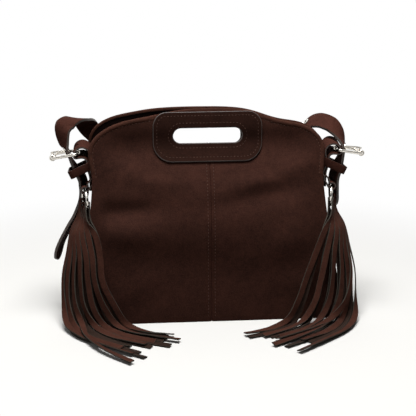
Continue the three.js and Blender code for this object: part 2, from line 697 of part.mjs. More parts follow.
// Turns a piece drawn about the Y axis onto the strap, its axis square to the strap's face
function ontoStrap(geometry, stop) {
  const { point, across } = strapStation(stop);
  const reach = 0.05;
  const along = strapStation(stop + reach).point.sub(strapStation(stop - reach).point).normalize();
  const side = across.addScaledVector(along, -across.dot(along)).normalize();
  const normal = along.clone().cross(side);
  const frame = new THREE.Matrix4().makeBasis(side, normal, along).setPosition(point);
  return geometry.applyMatrix4(frame);
}

function eyelet() {
  const inner = EYELET_BORE_RADIUS;
  const barrel = inner + EYELET_WALL;
  const face = STRAP_THICKNESS / 2 + EYELET_LIFT;
  const rim = face + EYELET_FLANGE_THICKNESS;
  const flange = EYELET_FLANGE_RADIUS;
  const profile = [
    [inner, -rim], [flange, -rim], [flange, -face], [barrel, -face],
    [barrel, face], [flange, face], [flange, rim], [inner, rim],
  ];
  return lathe(profile, 12);
}

const eyeletStops = {
  left_1: LEFT_WINDOW_STOP,
  left_2: stopAlong(LEFT_WINDOW_STOP, -EYELET_PITCH_LEFT),
  right_1: RIGHT_WINDOW_STOP,
  right_2: stopAlong(RIGHT_WINDOW_STOP, -EYELET_PITCH_RIGHT),
};

const strapStations = Array.from({ length: STRAP_STEPS + 1 }, (_, i) => (
  strapStation((i * (strapStops.length - 1)) / STRAP_STEPS)
));
let strap = ribbon(strapStations, STRAP_THICKNESS);
for (const [name, stop] of Object.entries(eyeletStops)) {
  const bore = EYELET_BORE_RADIUS + EYELET_WALL + GAP;
  const punch = new THREE.CylinderGeometry(bore, bore, 3 * STRAP_THICKNESS, 12);
  strap = cut(strap, ontoStrap(punch, stop));
  addPiece(bag, `strap_eyelet_${name}`, ontoStrap(eyelet(), stop), nickel);
}
addPiece(bag, 'shoulder_strap', strap, trimSuede);

// How far out the strap lies inside the keeper, measured along the keeper's own tilt
function tailReach(tilt) {
  let reach = 0;
  for (let stop = RIGHT_WINDOW_STOP + 0.5; stop < RIGHT_WINDOW_STOP + 3; stop += 0.1) {
    const { point } = strapStation(stop);
    const out = point.x - tabLoopX;
    const up = point.z - (tabLoopZ - KEEPER_DROP);
    const level = out * Math.sin(tilt) + up * Math.cos(tilt);
    if (Math.abs(level) < 0.5 * KEEPER_WIDTH + STRAP_THICKNESS) {
      reach = Math.max(reach, out * Math.cos(tilt) - up * Math.sin(tilt));
    }
  }
  return reach;
}

// The two ends: the same hardware, mirrored
for (const [sideName, side] of [['left', -1], ['right', 1]]) {
  const end = new THREE.Group();
  end.scale.x = side;
  bag.add(end);
  addPiece(end, `gusset_${sideName}`, gusset(side), suede);
  addPiece(end, `buckle_tab_${sideName}`, buckleTab(), trimSuede);
  addPiece(end, `keeper_${sideName}`, keeper(), trimSuede);
  addPiece(end, `ring_loop_${sideName}`, ringLoop(), trimSuede);
  addPiece(end, `tassel_ring_${sideName}`, tasselRing(), nickel);

  const buckle = new THREE.Group();
  buckle.position.set(heelX, 0, heelZ);
  buckle.rotation.y = droop;
  end.add(buckle);
  addPiece(buckle, `buckle_frame_${sideName}`, buckleFrame(), nickel);
  addPiece(buckle, `buckle_roller_${sideName}`, buckleRoller(), nickel);
  addPiece(buckle, `buckle_prong_${sideName}`, buckleProng(), nickel);

  for (let index = 0; index < LACES_PER_TASSEL; index += 1) {
    addPiece(end, `fringe_lace_${sideName}_${index + 1}`, fringeLace(index, side), laceSuede);
  }
}

export default bag;
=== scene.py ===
# %% [markdown]
# # Dressing a fringed suede bag
# The solid model of the bag is plain: flat sheets with the right size in the right place. This lesson
# builds the soft suede panels, the sewn handle, the strap, the buckles and the lace tassels over it.
# Everything is in metres, with +Z up, the front toward -Y and the origin under the middle of the base.

import math
import random

import bpy
from mathutils import Matrix, Vector


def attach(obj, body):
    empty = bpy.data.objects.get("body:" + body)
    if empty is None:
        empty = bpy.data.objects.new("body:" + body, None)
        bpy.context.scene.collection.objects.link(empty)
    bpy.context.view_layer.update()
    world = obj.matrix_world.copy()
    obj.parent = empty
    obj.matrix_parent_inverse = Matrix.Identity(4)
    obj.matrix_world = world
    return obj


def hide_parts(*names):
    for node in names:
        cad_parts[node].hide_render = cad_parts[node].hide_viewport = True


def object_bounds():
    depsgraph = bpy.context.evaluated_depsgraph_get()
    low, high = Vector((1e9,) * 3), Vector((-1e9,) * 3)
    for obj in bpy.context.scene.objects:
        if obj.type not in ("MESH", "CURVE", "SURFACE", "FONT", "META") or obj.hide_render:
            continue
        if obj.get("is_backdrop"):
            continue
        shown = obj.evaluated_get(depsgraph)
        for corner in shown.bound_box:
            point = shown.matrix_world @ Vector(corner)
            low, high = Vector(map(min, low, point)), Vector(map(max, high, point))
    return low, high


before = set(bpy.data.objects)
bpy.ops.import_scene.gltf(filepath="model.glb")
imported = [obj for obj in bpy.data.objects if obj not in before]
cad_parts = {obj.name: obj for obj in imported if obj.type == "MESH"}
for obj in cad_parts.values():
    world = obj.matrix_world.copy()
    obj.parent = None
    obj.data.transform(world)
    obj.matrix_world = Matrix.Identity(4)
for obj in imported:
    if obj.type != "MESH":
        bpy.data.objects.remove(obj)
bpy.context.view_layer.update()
bpy.ops.object.select_all(action="DESELECT")
print("Solid pieces in the frame:", len(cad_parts))

# %% [markdown]
# ## Camera
# The picture is square and looks a little down on the bag, from slightly to its left. A long lens keeps
# the sides nearly parallel, as in a studio picture. The camera is aimed by a direction and a distance,
# which is easier to read than three angles.

# %% Camera
CAMERA_AZIMUTH = math.radians(-5)
CAMERA_ELEVATION = math.radians(14)
CAMERA_DISTANCE = 1.0
CAMERA_TARGET = Vector((-0.0021, -0.02, 0.1216))
CAMERA_LENS = 79.4

toward_camera = Vector((
    math.sin(CAMERA_AZIMUTH) * math.cos(CAMERA_ELEVATION),
    -math.cos(CAMERA_AZIMUTH) * math.cos(CAMERA_ELEVATION),
    math.sin(CAMERA_ELEVATION),
))
bpy.ops.object.camera_add(location=CAMERA_TARGET + CAMERA_DISTANCE * toward_camera)
camera = bpy.context.object
camera.rotation_euler = toward_camera.to_track_quat("Z", "Y").to_euler()
camera.data.lens = CAMERA_LENS
bpy.context.scene.camera = camera
print("Camera stands at", [round(value, 3) for value in camera.location])

# %% [markdown]
# ## Finishes
# A colour is written as the sRGB value that a picture shows, and one function turns it into the linear
# value that a shader needs. Another small function adds a node, sets its values and links it.

# %% Helpers for finishes
MM = 0.001


def linear(hex_colour):
    """The linear red, green, blue and alpha of an sRGB colour such as #3f2620."""
    channels = [int(hex_colour[i:i + 2], 16) / 255 for i in (1, 3, 5)]
    return [c / 12.92 if c <= 0.04045 else ((c + 0.055) / 1.055) ** 2.4 for c in channels] + [1]


def add_node(tree, kind, settings=None, links=None):
    """Adds a node, sets its sockets or properties, and links sockets into it."""
    node = tree.nodes.new(kind)
    for name, value in (settings or {}).items():
        if isinstance(name, int) or name in node.inputs:
            node.inputs[name].default_value = value
        else:
            setattr(node, name, value)
    for name, socket in (links or {}).items():
        tree.links.new(socket, node.inputs[name])
    return node


def new_finish(name):
    """An empty node material with its main shader."""
    material = bpy.data.materials.new(name)
    material.use_nodes = True
    return material, material.node_tree, material.node_tree.nodes["Principled BSDF"]


# %% [markdown]
# ### Suede
# Suede is the brushed flesh side of leather. Its fibres lie in patches, so the colour clouds over a few
# centimetres, and the nap itself is a fine fleck. It has no gloss, only a soft sheen at grazing angles.
# The nap is really finer than a tenth of a millimetre, and it is drawn much coarser so that it shows.

# %% Suede finishes
NAP_MM = 1.3
CLOUD_MM = 7
BRUSH_MM = 34


def suede(name, shade, glow, sheen=0.1, spread=0.16):
    """Brushed suede whose nap clouds between a dark shade and a warm glow."""
    material, tree, shader = new_finish(name)
    place = add_node(tree, "ShaderNodeTexCoord").outputs["Object"]
    brush = add_node(tree, "ShaderNodeTexNoise", {
        "Scale": 1 / (BRUSH_MM * MM), "Detail": 3, "Roughness": 0.55, "Distortion": 0.6,
    }, {"Vector": place})
    cloud = add_node(tree, "ShaderNodeTexNoise", {
        "Scale": 1 / (CLOUD_MM * MM), "Detail": 2, "Roughness": 0.6, "Distortion": 0.3,
    }, {"Vector": place})
    nap = add_node(tree, "ShaderNodeTexNoise", {
        "Scale": 1 / (NAP_MM * MM), "Detail": 2, "Roughness": 0.7,
    }, {"Vector": place})
    broad = add_node(tree, "ShaderNodeMix", {0: 0.5}, {2: brush.outputs[0], 3: cloud.outputs[0]})
    tone = add_node(tree, "ShaderNodeMix", {0: 0.5}, {2: broad.outputs[0], 3: nap.outputs[0]})
    share = add_node(tree, "ShaderNodeMapRange", {
        "From Min": 0.5 - spread, "From Max": 0.5 + spread,
    }, {"Value": tone.outputs[0]})
    colour = add_node(tree, "ShaderNodeMix", {
        "data_type": "RGBA", 6: linear(shade), 7: linear(glow),
    }, {0: share.outputs[0]})
    bump = add_node(tree, "ShaderNodeBump", {
        "Strength": 0.5, "Distance": 0.35 * MM,
    }, {"Height": nap.outputs[0]})
    tree.links.new(colour.outputs[2], shader.inputs["Base Color"])
    tree.links.new(bump.outputs[0], shader.inputs["Normal"])
    shader.inputs["Roughness"].default_value = 0.95
    shader.inputs["Specular IOR Level"].default_value = 0.05
    shader.inputs["Sheen Weight"].default_value = sheen
    shader.inputs["Sheen Roughness"].default_value = 0.4
    shader.inputs["Sheen Tint"].default_value = linear(glow)
    return material


panel_suede = suede("panel_suede", "#2a1914", "#442921")
# The rim suede is lighter than the panel suede: partly a worn edge, partly a painted highlight along the rim.
rim_wear_and_painted_highlight = suede("rim_wear_and_painted_highlight", "#3f231b", "#5f372d", sheen=0.12)
patch_suede = suede("patch_suede", "#1f120d", "#301c16")
strap_suede = suede("strap_suede", "#301b15", "#4a2b23", sheen=0.12)
lace_suede = suede("lace_suede", "#301d17", "#4b2d24", sheen=0.12)
# The lining is the darker flesh side of the suede, made darker still as painted shade inside the bag.
dark_lining_and_painted_shade = suede("dark_lining_and_painted_shade", "#120b09", "#1f1310", sheen=0.1)
lace_back = suede("lace_back", "#221915", "#352822", sheen=0.12)
lace_edge = suede("lace_edge", "#2e2b28", "#454039", sheen=0.12)
# The hem suede is a lighter copy of the panel suede, a painted highlight on the turned rim.
hem_suede_painted_highlight = suede("hem_suede_painted_highlight", "#301d17", "#4e3026", sheen=0.12)
print("Suede finishes: 9")

# %% [markdown]
# ### Painted edges, thread and nickel
# Cut edges of straps are sealed with a satin edge paint. The thread is twisted polyester, a little
# lighter than the suede. The hardware is steel with polished nickel plate: a warm, bright mirror.

# %% Edge paint, thread and nickel
THREAD_TWIST_MM = 0.8
PLATE_RIPPLE_MM = 3


def edge_paint(name, colour):
    """Satin edge paint, slightly uneven where it was rolled on."""
    material, tree, shader = new_finish(name)
    place = add_node(tree, "ShaderNodeTexCoord").outputs["Object"]
    uneven = add_node(tree, "ShaderNodeTexNoise", {"Scale": 1 / (2 * MM), "Detail": 2}, {"Vector": place})
    tint = add_node(tree, "ShaderNodeMix", {
        "data_type": "RGBA", 6: linear("#1c1613"), 7: linear(colour),
    }, {0: uneven.outputs[0]})
    bump = add_node(tree, "ShaderNodeBump", {"Strength": 0.2, "Distance": 0.2 * MM},
                    {"Height": uneven.outputs[0]})
    tree.links.new(tint.outputs[2], shader.inputs["Base Color"])
    tree.links.new(bump.outputs[0], shader.inputs["Normal"])
    shader.inputs["Roughness"].default_value = 0.5
    return material


def polyester_thread():
    """Twisted sewing thread: fine slanting ridges."""
    material, tree, shader = new_finish("polyester_thread")
    place = add_node(tree, "ShaderNodeTexCoord").outputs["Object"]
    twist = add_node(tree, "ShaderNodeTexWave", {
        "Scale": 1 / (THREAD_TWIST_MM * MM) / 6, "bands_direction": "DIAGONAL",
    }, {"Vector": place})
    tint = add_node(tree, "ShaderNodeMix", {
        "data_type": "RGBA", 6: linear("#36231c"), 7: linear("#5c4035"),
    }, {0: twist.outputs[1]})
    tree.links.new(tint.outputs[2], shader.inputs["Base Color"])
    shader.inputs["Roughness"].default_value = 0.7
    shader.inputs["Specular IOR Level"].default_value = 0.2
    return material


def polished_nickel():
    """Nickel plate with a faint ripple in its polish."""
    material, tree, shader = new_finish("polished_nickel")
    place = add_node(tree, "ShaderNodeTexCoord").outputs["Object"]
    ripple = add_node(tree, "ShaderNodeTexNoise", {
        "Scale": 1 / (PLATE_RIPPLE_MM * MM), "Detail": 2,
    }, {"Vector": place})
    polish = add_node(tree, "ShaderNodeMapRange", {"To Min": 0.05, "To Max": 0.14},
                      {"Value": ripple.outputs[0]})
    bump = add_node(tree, "ShaderNodeBump", {"Strength": 0.08, "Distance": 0.2 * MM},
                    {"Height": ripple.outputs[0]})
    tree.links.new(polish.outputs[0], shader.inputs["Roughness"])
    tree.links.new(bump.outputs[0], shader.inputs["Normal"])
    shader.inputs["Base Color"].default_value = linear("#d6d1c8")
    shader.inputs["Metallic"].default_value = 1
    return material


trim_edge = edge_paint("trim_edge_paint", "#473a34")
strap_edge = edge_paint("strap_edge_paint", "#5c5049")
thread = polyester_thread()
nickel = polished_nickel()
print("Other finishes: 4")

# %% [markdown]
# ## Floor and light
# The bag stands on a white sweep. The floor takes the bag's shadow near it and fades to plain white further
# out, only for rays that are seen, so that it throws no extra light on the bag.

# %% Floor
FLOOR_SIZE = 6
SHADOW_REACH = (0.2, 0.62)
BOUNCE_COLOUR = "#6e6c69"


def seen_directly(tree):
    """One where a ray from the camera, a mirror or glass looks, and zero elsewhere."""
    path = add_node(tree, "ShaderNodeLightPath").outputs
    first = add_node(tree, "ShaderNodeMath", {"operation": "MAXIMUM"},
                     {0: path["Is Camera Ray"], 1: path["Is Glossy Ray"]})
    return add_node(tree, "ShaderNodeMath", {"operation": "MAXIMUM"},
                    {0: first.outputs[0], 1: path["Is Transmission Ray"]}).outputs[0]


def white_sweep():
    """Matt white paper that turns to plain white away from the bag."""
    material, tree, shader = new_finish("white_sweep")
    shader.inputs["Roughness"].default_value = 0.9
    shader.inputs["Specular IOR Level"].default_value = 0.1
    paper = add_node(tree, "ShaderNodeMix", {
        "data_type": "RGBA", 6: linear(BOUNCE_COLOUR), 7: linear("#dbdad7"),
    }, {0: seen_directly(tree)})
    tree.links.new(paper.outputs[2], shader.inputs["Base Color"])
    place = add_node(tree, "ShaderNodeTexCoord").outputs["Object"]
    distance = add_node(tree, "ShaderNodeVectorMath", {"operation": "LENGTH"}, {0: place})
    away = add_node(tree, "ShaderNodeMapRange", {
        "From Min": SHADOW_REACH[0], "From Max": SHADOW_REACH[1], "interpolation_type": "SMOOTHSTEP",
    }, {"Value": distance.outputs["Value"]})
    share = add_node(tree, "ShaderNodeMath", {"operation": "MULTIPLY"},
                     {0: away.outputs[0], 1: seen_directly(tree)})
    glow = add_node(tree, "ShaderNodeEmission", {"Strength": 1.0})
    blend = add_node(tree, "ShaderNodeMixShader", None,
                     {0: share.outputs[0], 1: shader.outputs[0], 2: glow.outputs[0]})
    tree.links.new(blend.outputs[0], tree.nodes["Material Output"].inputs["Surface"])
    return material


bpy.ops.mesh.primitive_plane_add(size=FLOOR_SIZE)
floor = bpy.context.object
floor.name = "floor"
floor.data.materials.append(white_sweep())
floor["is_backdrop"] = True
print("Floor:", FLOOR_SIZE, "m")

# %% [markdown]
# A soft lamp hangs high above the bag, a little in front of it. A weaker one fills from the front left, and
# one behind lights the rims.

# %% Lamps
KEY_LAMP = {"place": (-0.05, -0.28, 1.5), "size": 0.7, "power": 31}
FILL_LAMP = {"place": (-0.9, -1.1, 0.8), "size": 1.0, "power": 2}
RIM_LAMP = {"place": (0.0, 1.0, 1.2), "size": 1.2, "power": 4}

for name, lamp in (("key", KEY_LAMP), ("fill", FILL_LAMP), ("rim", RIM_LAMP)):
    bpy.ops.object.light_add(type="AREA", location=lamp["place"])
    light = bpy.context.object
    light.name = f"{name}_lamp"
    light.data.size = lamp["size"]
    light.data.energy = lamp["power"]
    light.rotation_euler = (Vector(lamp["place"]) - CAMERA_TARGET).to_track_quat("Z", "Y").to_euler()
print("Lamps: 3")

# %% [markdown]
# In a studio the side of the camera is dark, and polished metal shows it. A curved black cloth stands in
# front for that. Only mirror rays see it, so it shades nothing and never shows in a picture.

# %% Dark cloth in front
CARD_RADIUS = 2.4
CARD_HEIGHT = 1.5
CARD_MIDDLE = 0.75
CARD_BACK = -0.4

bpy.ops.object.select_all(action="DESELECT")
bpy.ops.mesh.primitive_cylinder_add(vertices=64, radius=CARD_RADIUS, depth=CARD_HEIGHT,
                                    end_fill_type="NOTHING", location=(0, 0, CARD_MIDDLE))
cards = bpy.context.object
cards.name = "dark_cards"
bpy.ops.object.mode_set(mode="EDIT")
bpy.ops.mesh.bisect(plane_co=(0, CARD_BACK, 0), plane_no=(0, 1, 0), clear_outer=True)
bpy.ops.object.mode_set(mode="OBJECT")
card_cloth, _, card_shader = new_finish("black_cloth")
card_shader.inputs["Base Color"].default_value = linear("#0c0b0b")
card_shader.inputs["Roughness"].default_value = 1
cards.data.materials.append(card_cloth)
for ray in ("camera", "diffuse", "transmission", "volume_scatter", "shadow"):
    setattr(cards, f"visible_{ray}", False)
cards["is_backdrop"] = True
print("Dark cloth:", len(cards.data.polygons), "faces")

# %% [markdown]
# The world adds a faint even light, and looks plain white where it is seen.

# %% World
WORLD_LEVEL = 0.08

world = bpy.data.worlds.new("white_studio")
bpy.context.scene.world = world
world.use_nodes = True
sky = world.node_tree
level = add_node(sky, "ShaderNodeMapRange", {"To Min": WORLD_LEVEL, "To Max": 1.0},
                 {"Value": seen_directly(sky)})
sky.links.new(level.outputs[0], sky.nodes["Background"].inputs["Strength"])
sky.nodes["Background"].inputs["Color"].default_value = linear("#ffffff")
bpy.context.scene.view_settings.view_transform = "Standard"
print("World level:", WORLD_LEVEL)

# %% [markdown]
# ## The shape of the body
# Both sides of the bag are cut to one outline: a flared trapezium with a softly rounded top. The bag is
# deep at its base and thin at its handle. These few sizes are the ones that the solid model uses.

# %% Sizes and outline of the body
GAP = 0.0003
BASE_HALF_WIDTH = 0.148
BASE_HALF_DEPTH = 0.046
BASE_CORNER = 0.006
WAIST_HALF_WIDTH = 0.1255
WAIST_HEIGHT = 0.155
RIM_HALF_WIDTH = 0.127
SHOULDER_HEIGHT = 0.183
TOP_HEIGHT = 0.226
TOP_HALF_DEPTH = 0.008
SIDE_FLARE = 1.3
DEPTH_CURVE = 1.25
BELLY = 0.004
MOUTH_SKEW = 0.005
PANEL_THICKNESS = 0.0024
SIDE_SHARE = 0.84
SHOULDER_TURN = 0.58
# How each half has settled: its width at waist and rim, its top, the roundness of its shoulder, and the
# depth, middle and reach of the sag in its rim. The first key is the face, the second the side.
PANEL_CUTS = {
    (-1, -1): {
        "waist": 0.1265, "rim": 0.1295, "top": 0.228, "roundness": 2.2, "sag": (0.0026, 0.064, 0.026),
    },
    (-1, 1): {
        "waist": 0.1240, "rim": 0.1258, "top": 0.228, "roundness": 2.2, "sag": (0.0052, 0.077, 0.024),
    },
    (1, -1): {
        "waist": 0.1262, "rim": 0.1305, "top": 0.2295, "roundness": 2.8, "sag": (0.0010, 0.085, 0.020),
    },
    (1, 1): {
        "waist": 0.1255, "rim": 0.1265, "top": 0.2295, "roundness": 2.2, "sag": (0.0062, 0.076, 0.027),
    },
}


def mix(low, high, share):
    return low + (high - low) * share


def smooth(share):
    share = min(1.0, max(0.0, share))
    return share * share * (3 - 2 * share)


def half_width(z, waist=WAIST_HALF_WIDTH, rim=RIM_HALF_WIDTH):
    """Half the width of a panel at a height below the shoulder."""
    below = max(0.0, BASE_CORNER - z)
    corner = BASE_CORNER - math.sqrt(BASE_CORNER ** 2 - below ** 2)
    if z <= WAIST_HEIGHT:
        return mix(waist, BASE_HALF_WIDTH, (1 - z / WAIST_HEIGHT) ** SIDE_FLARE) - corner
    rise = (z - WAIST_HEIGHT) / (SHOULDER_HEIGHT - WAIST_HEIGHT)
    return mix(waist, rim, smooth(rise))


def half_depth(x, z):
    """Distance of a taut panel's outer face from the mid plane."""
    rise = max(0.0, z / TOP_HEIGHT)
    taper = mix(BASE_HALF_DEPTH, TOP_HALF_DEPTH, rise ** DEPTH_CURVE)
    across = math.cos(0.5 * math.pi * max(-1.0, min(1.0, x / BASE_HALF_WIDTH)))
    belly = BELLY * across ** 2 * math.sin(math.pi * min(1.0, rise))
    return taper + belly - MOUTH_SKEW * (x / RIM_HALF_WIDTH) * rise ** 4


def top_edge(shape, turn):
    """Point on the top edge, from the centre (0) round the shoulder to the side (1)."""
    angle = 0.5 * math.pi * turn
    power = 2 / shape["roundness"]
    x = shape["rim"] * math.sin(angle) ** power
    z = mix(SHOULDER_HEIGHT, shape["top"], max(0.0, math.cos(angle)) ** power)
    depth, middle, reach = shape["sag"]
    return Vector((x, z - depth * math.exp(-((x - middle) / reach) ** 2)))


def side_edge(shape, v):
    """Point on the side edge, from the base (0) up round the shoulder (1)."""
    if v < SIDE_SHARE:
        z = v / SIDE_SHARE * SHOULDER_HEIGHT
        return Vector((half_width(z, shape["waist"], shape["rim"]), z))
    return top_edge(shape, mix(1, SHOULDER_TURN, (v - SIDE_SHARE) / (1 - SIDE_SHARE)))


def panel_point(shape, u, v):
    """Point of a panel half, as a patch between its four edges: u out from the seam, v up."""
    seam = GAP / 2
    bottom = Vector((mix(seam, half_width(0), u), 0))
    corners = (
        (Vector((seam, 0)), (1 - u) * (1 - v)),
        (Vector((half_width(0), 0)), u * (1 - v)),
        (top_edge(shape, 0), (1 - u) * v),
        (top_edge(shape, SHOULDER_TURN), u * v),
    )
    point = bottom * (1 - v) + top_edge(shape, u * SHOULDER_TURN) * v
    point += Vector((seam, v * shape["top"])) * (1 - u) + side_edge(shape, v) * u
    for corner, weight in corners:
        point -= corner * weight
    return Vector((max(seam, point.x), point.y))


print("Body:", 2 * BASE_HALF_WIDTH, "wide,", 2 * BASE_HALF_DEPTH, "deep,", TOP_HEIGHT, "high")

# %% [markdown]
# ### How the suede slouches
# Nothing stiffens the panels, so they swell below the handle and dent where they sag. A cloth simulation
# could do this, but the folds of this bag are few and known, so each one is listed as a soft
# ridge or dent: its middle, its half length and half width, its tilt, and how far it pushes out.

# %% Slouch of the panels
# The swell and the tuck have a push, a middle height and a reach. The pinch has a push and the heights
# between which it grows.
SWELL = (0.0075, 0.108, 0.042)
TUCK = (0.0060, 0.187, 0.019)
PINCH = (0.0040, 0.150, 0.200)
PINCH_SIDES = (0.045, 0.105)
SLOUCH_SIDES = (0.088, 0.124)
FRONT_FOLDS = (
    (-0.092, 0.122, 0.040, 0.0105, 4, -0.0056),
    (-0.096, 0.099, 0.036, 0.0150, -4, 0.0032),
    (-0.062, 0.158, 0.050, 0.0130, -14, 0.0026),
    (0.064, 0.158, 0.062, 0.0095, 15, 0.0034),
    (0.060, 0.136, 0.048, 0.0090, 10, -0.0026),
    (0.085, 0.085, 0.040, 0.0180, 22, 0.0018),
    (-0.030, 0.064, 0.060, 0.0200, -12, -0.0014),
    (0.100, 0.040, 0.034, 0.0140, -8, 0.0014),
    (-0.082, 0.040, 0.030, 0.0140, 30, 0.0016),
)
BACK_FOLDS = (
    (-0.070, 0.128, 0.060, 0.0120, 10, -0.0034),
    (0.085, 0.120, 0.045, 0.0140, -12, -0.0032),
    (0.020, 0.090, 0.070, 0.0180, 6, 0.0026),
    (-0.080, 0.060, 0.050, 0.0180, -16, 0.0022),
)
PATCH_KEEPS_FLAT = (0.064, 0.166)
PATCH_EASE = (0.02, 0.016)
EDGE_EASE = (0.02, 0.03)
SEAM_DIP = (0.0009, 0.0016)


def slouch(face, x, z):
    """How far a panel's face lies outside the taut shape."""
    sides = 1 - smooth((abs(x) - SLOUCH_SIDES[0]) / (SLOUCH_SIDES[1] - SLOUCH_SIDES[0]))
    swell = SWELL[0] * math.exp(-((z - SWELL[1]) / SWELL[2]) ** 2)
    tuck = TUCK[0] * math.exp(-((z - TUCK[1]) / TUCK[2]) ** 2)
    folds = 0.0
    for middle_x, middle_z, length, width, tilt, push in FRONT_FOLDS if face < 0 else BACK_FOLDS:
        turn = math.radians(tilt)
        along = (x - middle_x) * math.cos(turn) + (z - middle_z) * math.sin(turn)
        over = (z - middle_z) * math.cos(turn) - (x - middle_x) * math.sin(turn)
        folds += push * math.exp(-(along / length) ** 2 - (over / width) ** 2)
    beside_patch = smooth((abs(x) - PATCH_KEEPS_FLAT[0]) / PATCH_EASE[0])
    under_patch = smooth((PATCH_KEEPS_FLAT[1] - z) / PATCH_EASE[1])
    folds *= max(beside_patch, under_patch)
    edges = smooth(z / EDGE_EASE[0]) * smooth((TOP_HEIGHT - z) / EDGE_EASE[1])
    seam = SEAM_DIP[0] * math.exp(-(x / SEAM_DIP[1]) ** 2)
    held = 1 - smooth((abs(x) - PINCH_SIDES[0]) / (PINCH_SIDES[1] - PINCH_SIDES[0]))
    pinch = PINCH[0] * held * smooth((z - PINCH[1]) / (PINCH[2] - PINCH[1]))
    return edges * (sides * (swell - tuck) + smooth(3 * sides) * folds) - seam - pinch


def panel_face(face, x, z):
    """Point on a panel's outer face: face is -1 on the front and 1 on the back."""
    return Vector((x, face * (half_depth(x, z) + slouch(face, x, z)), z))


def panel_normal(face, x, z):
    """Direction straight out of a panel's outer face."""
    step = 0.0005
    across = panel_face(face, x + step, z) - panel_face(face, x - step, z)
    up = panel_face(face, x, z + step) - panel_face(face, x, z - step)
    return (-face * across.cross(up)).normalized()


print("Front folds:", len(FRONT_FOLDS), "back folds:", len(BACK_FOLDS))

# %% [markdown]
# ## Tools of the workshop
# A few short helpers stand for what is done again and again by hand: lay a sheet, apply a modifier, cut
# with a tool, and set a finished piece on its body in place of the plain solid.

# %% Helpers for pieces
EDGE_ANGLE = math.radians(50)
EDGE_SEGMENTS = 3


def pick(piece):
    """Makes one piece the only selected and active one."""
    bpy.ops.object.select_all(action="DESELECT")
    piece.select_set(True)
    bpy.context.view_layer.objects.active = piece


def apply_modifier(piece, kind, **settings):
    """Adds a modifier, sets it and applies it."""
    pick(piece)
    modifier = piece.modifiers.new(kind.lower(), kind)
    for name, value in settings.items():
        setattr(modifier, name, value)
    bpy.ops.object.modifier_apply(modifier=modifier.name)


def edit(piece, action, **settings):
    """Runs one edit-mode operator on the whole mesh of a piece."""
    pick(piece)
    bpy.ops.object.mode_set(mode="EDIT")
    bpy.ops.mesh.select_all(action="SELECT")
    action(**settings)
    bpy.ops.object.mode_set(mode="OBJECT")


def lay_sheet(name, columns, rows, place):
    """A grid whose points are laid by place(u, v), with u and v from 0 to 1."""
    bpy.ops.object.select_all(action="DESELECT")
    bpy.ops.mesh.primitive_grid_add(x_subdivisions=columns, y_subdivisions=rows, size=1)
    sheet = bpy.context.object
    sheet.name = name
    for vertex in sheet.data.vertices:
        vertex.co = place(vertex.co.x + 0.5, vertex.co.y + 0.5)
    return sheet


def lay_ribbon(name, stations, columns=3):
    """A strip along stations, each a point, a direction across and a width."""
    last = len(stations) - 1

    def place(u, v):
        index = round(v * last)
        point, across, width = stations[index]
        along = stations[min(last, index + 1)][0] - stations[max(0, index - 1)][0]
        side = across - along * (across.dot(along) / along.length_squared)
        return point + side.normalized() * (u - 0.5) * width

    return lay_sheet(name, columns, last, place)


def drawn_loop(name, points):
    """A closed loop of edges through points."""
    bpy.ops.object.select_all(action="DESELECT")
    bpy.ops.mesh.primitive_circle_add(vertices=len(points))
    loop = bpy.context.object
    loop.name = name
    for vertex, point in zip(loop.data.vertices, points):
        vertex.co = point
    return loop


def level_band(name, outline, height):
    """A band drawn up from a closed outline, half below and half above the XY plane."""
    band = drawn_loop(name, [(point.x, point.y, -height / 2) for point in outline])
    edit(band, bpy.ops.mesh.extrude_region_move, TRANSFORM_OT_translate={"value": (0, 0, height)})
    edit(band, bpy.ops.mesh.normals_make_consistent)
    return band


def mirror_left(piece, side):
    """Mirrors a piece that is drawn for the right end, where it belongs to the left one."""
    if side < 0:
        piece.data.transform(Matrix.Scale(-1, 4, (1, 0, 0)))
        edit(piece, bpy.ops.mesh.flip_normals)


def thicken(piece, thickness, finishes, inward=-1.0, round_edge=0.0, round_finish=1, smooth_deg=50):
    """Gives a sheet its thickness, rounds its edges and dresses face, cut edge and back."""
    for finish in finishes:
        piece.data.materials.append(finish)
    back = len(finishes) - 1
    apply_modifier(piece, "SOLIDIFY", thickness=thickness, offset=inward,
                   material_offset=back, material_offset_rim=min(1, back))
    if round_edge:
        apply_modifier(piece, "BEVEL", width=round_edge, segments=EDGE_SEGMENTS, limit_method="ANGLE",
                       angle_limit=EDGE_ANGLE, material=min(round_finish, back))
    pick(piece)
    bpy.ops.object.shade_smooth_by_angle(angle=math.radians(smooth_deg))


def cut(piece, tool):
    """Cuts a closed tool out of a piece."""
    apply_modifier(piece, "BOOLEAN", operation="DIFFERENCE", object=tool, solver="EXACT")


def drop(tool):
    bpy.data.objects.remove(tool)


def set_piece(piece, body, slot, *nodes):
    """Rides a finished piece on its body, in place of the plain solids that it stands for."""
    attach(piece, body)
    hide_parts(*nodes)
    print(piece.name, "has", len(piece.data.polygons), "faces")


# %% [markdown]
# ## Panels
# Each side of the bag is two halves, sewn in the middle and turned at the rim. A half is a sheet laid on
# the outline and pushed out by the slouch, thickened inward, with a rounded rim. The hand slot is then
# cut right through each side with a tool of its own, as a die would cut it.

# %% Hand slot tool
HANDLE_OFFSET = -0.0015
SLOT_LENGTH = 0.075
SLOT_HEIGHT = 0.0168
SLOT_BACK_DROP = 0.0038
SLOT_DROP = 0.0265
SLOT_POINTS = 96


def rounded_outline(left, right, low, high, low_radius, high_radius, count):
    """Points spaced evenly round a rounded rectangle, from the middle of its bottom edge."""
    corners = (
        (right - low_radius, low + low_radius, low_radius, -90),
        (right - high_radius, high - high_radius, high_radius, 0),
        (left + high_radius, high - high_radius, high_radius, 90),
        (left + low_radius, low + low_radius, low_radius, 180),
    )
    line = [Vector((0.5 * (left + right), low))]
    for x, z, radius, start in corners:
        for step in range(25):
            turn = math.radians(start + 90 * step / 24)
            line.append(Vector((x + radius * math.cos(turn), z + radius * math.sin(turn))))
    line.append(line[0])
    return spaced(line, count, closed=True)


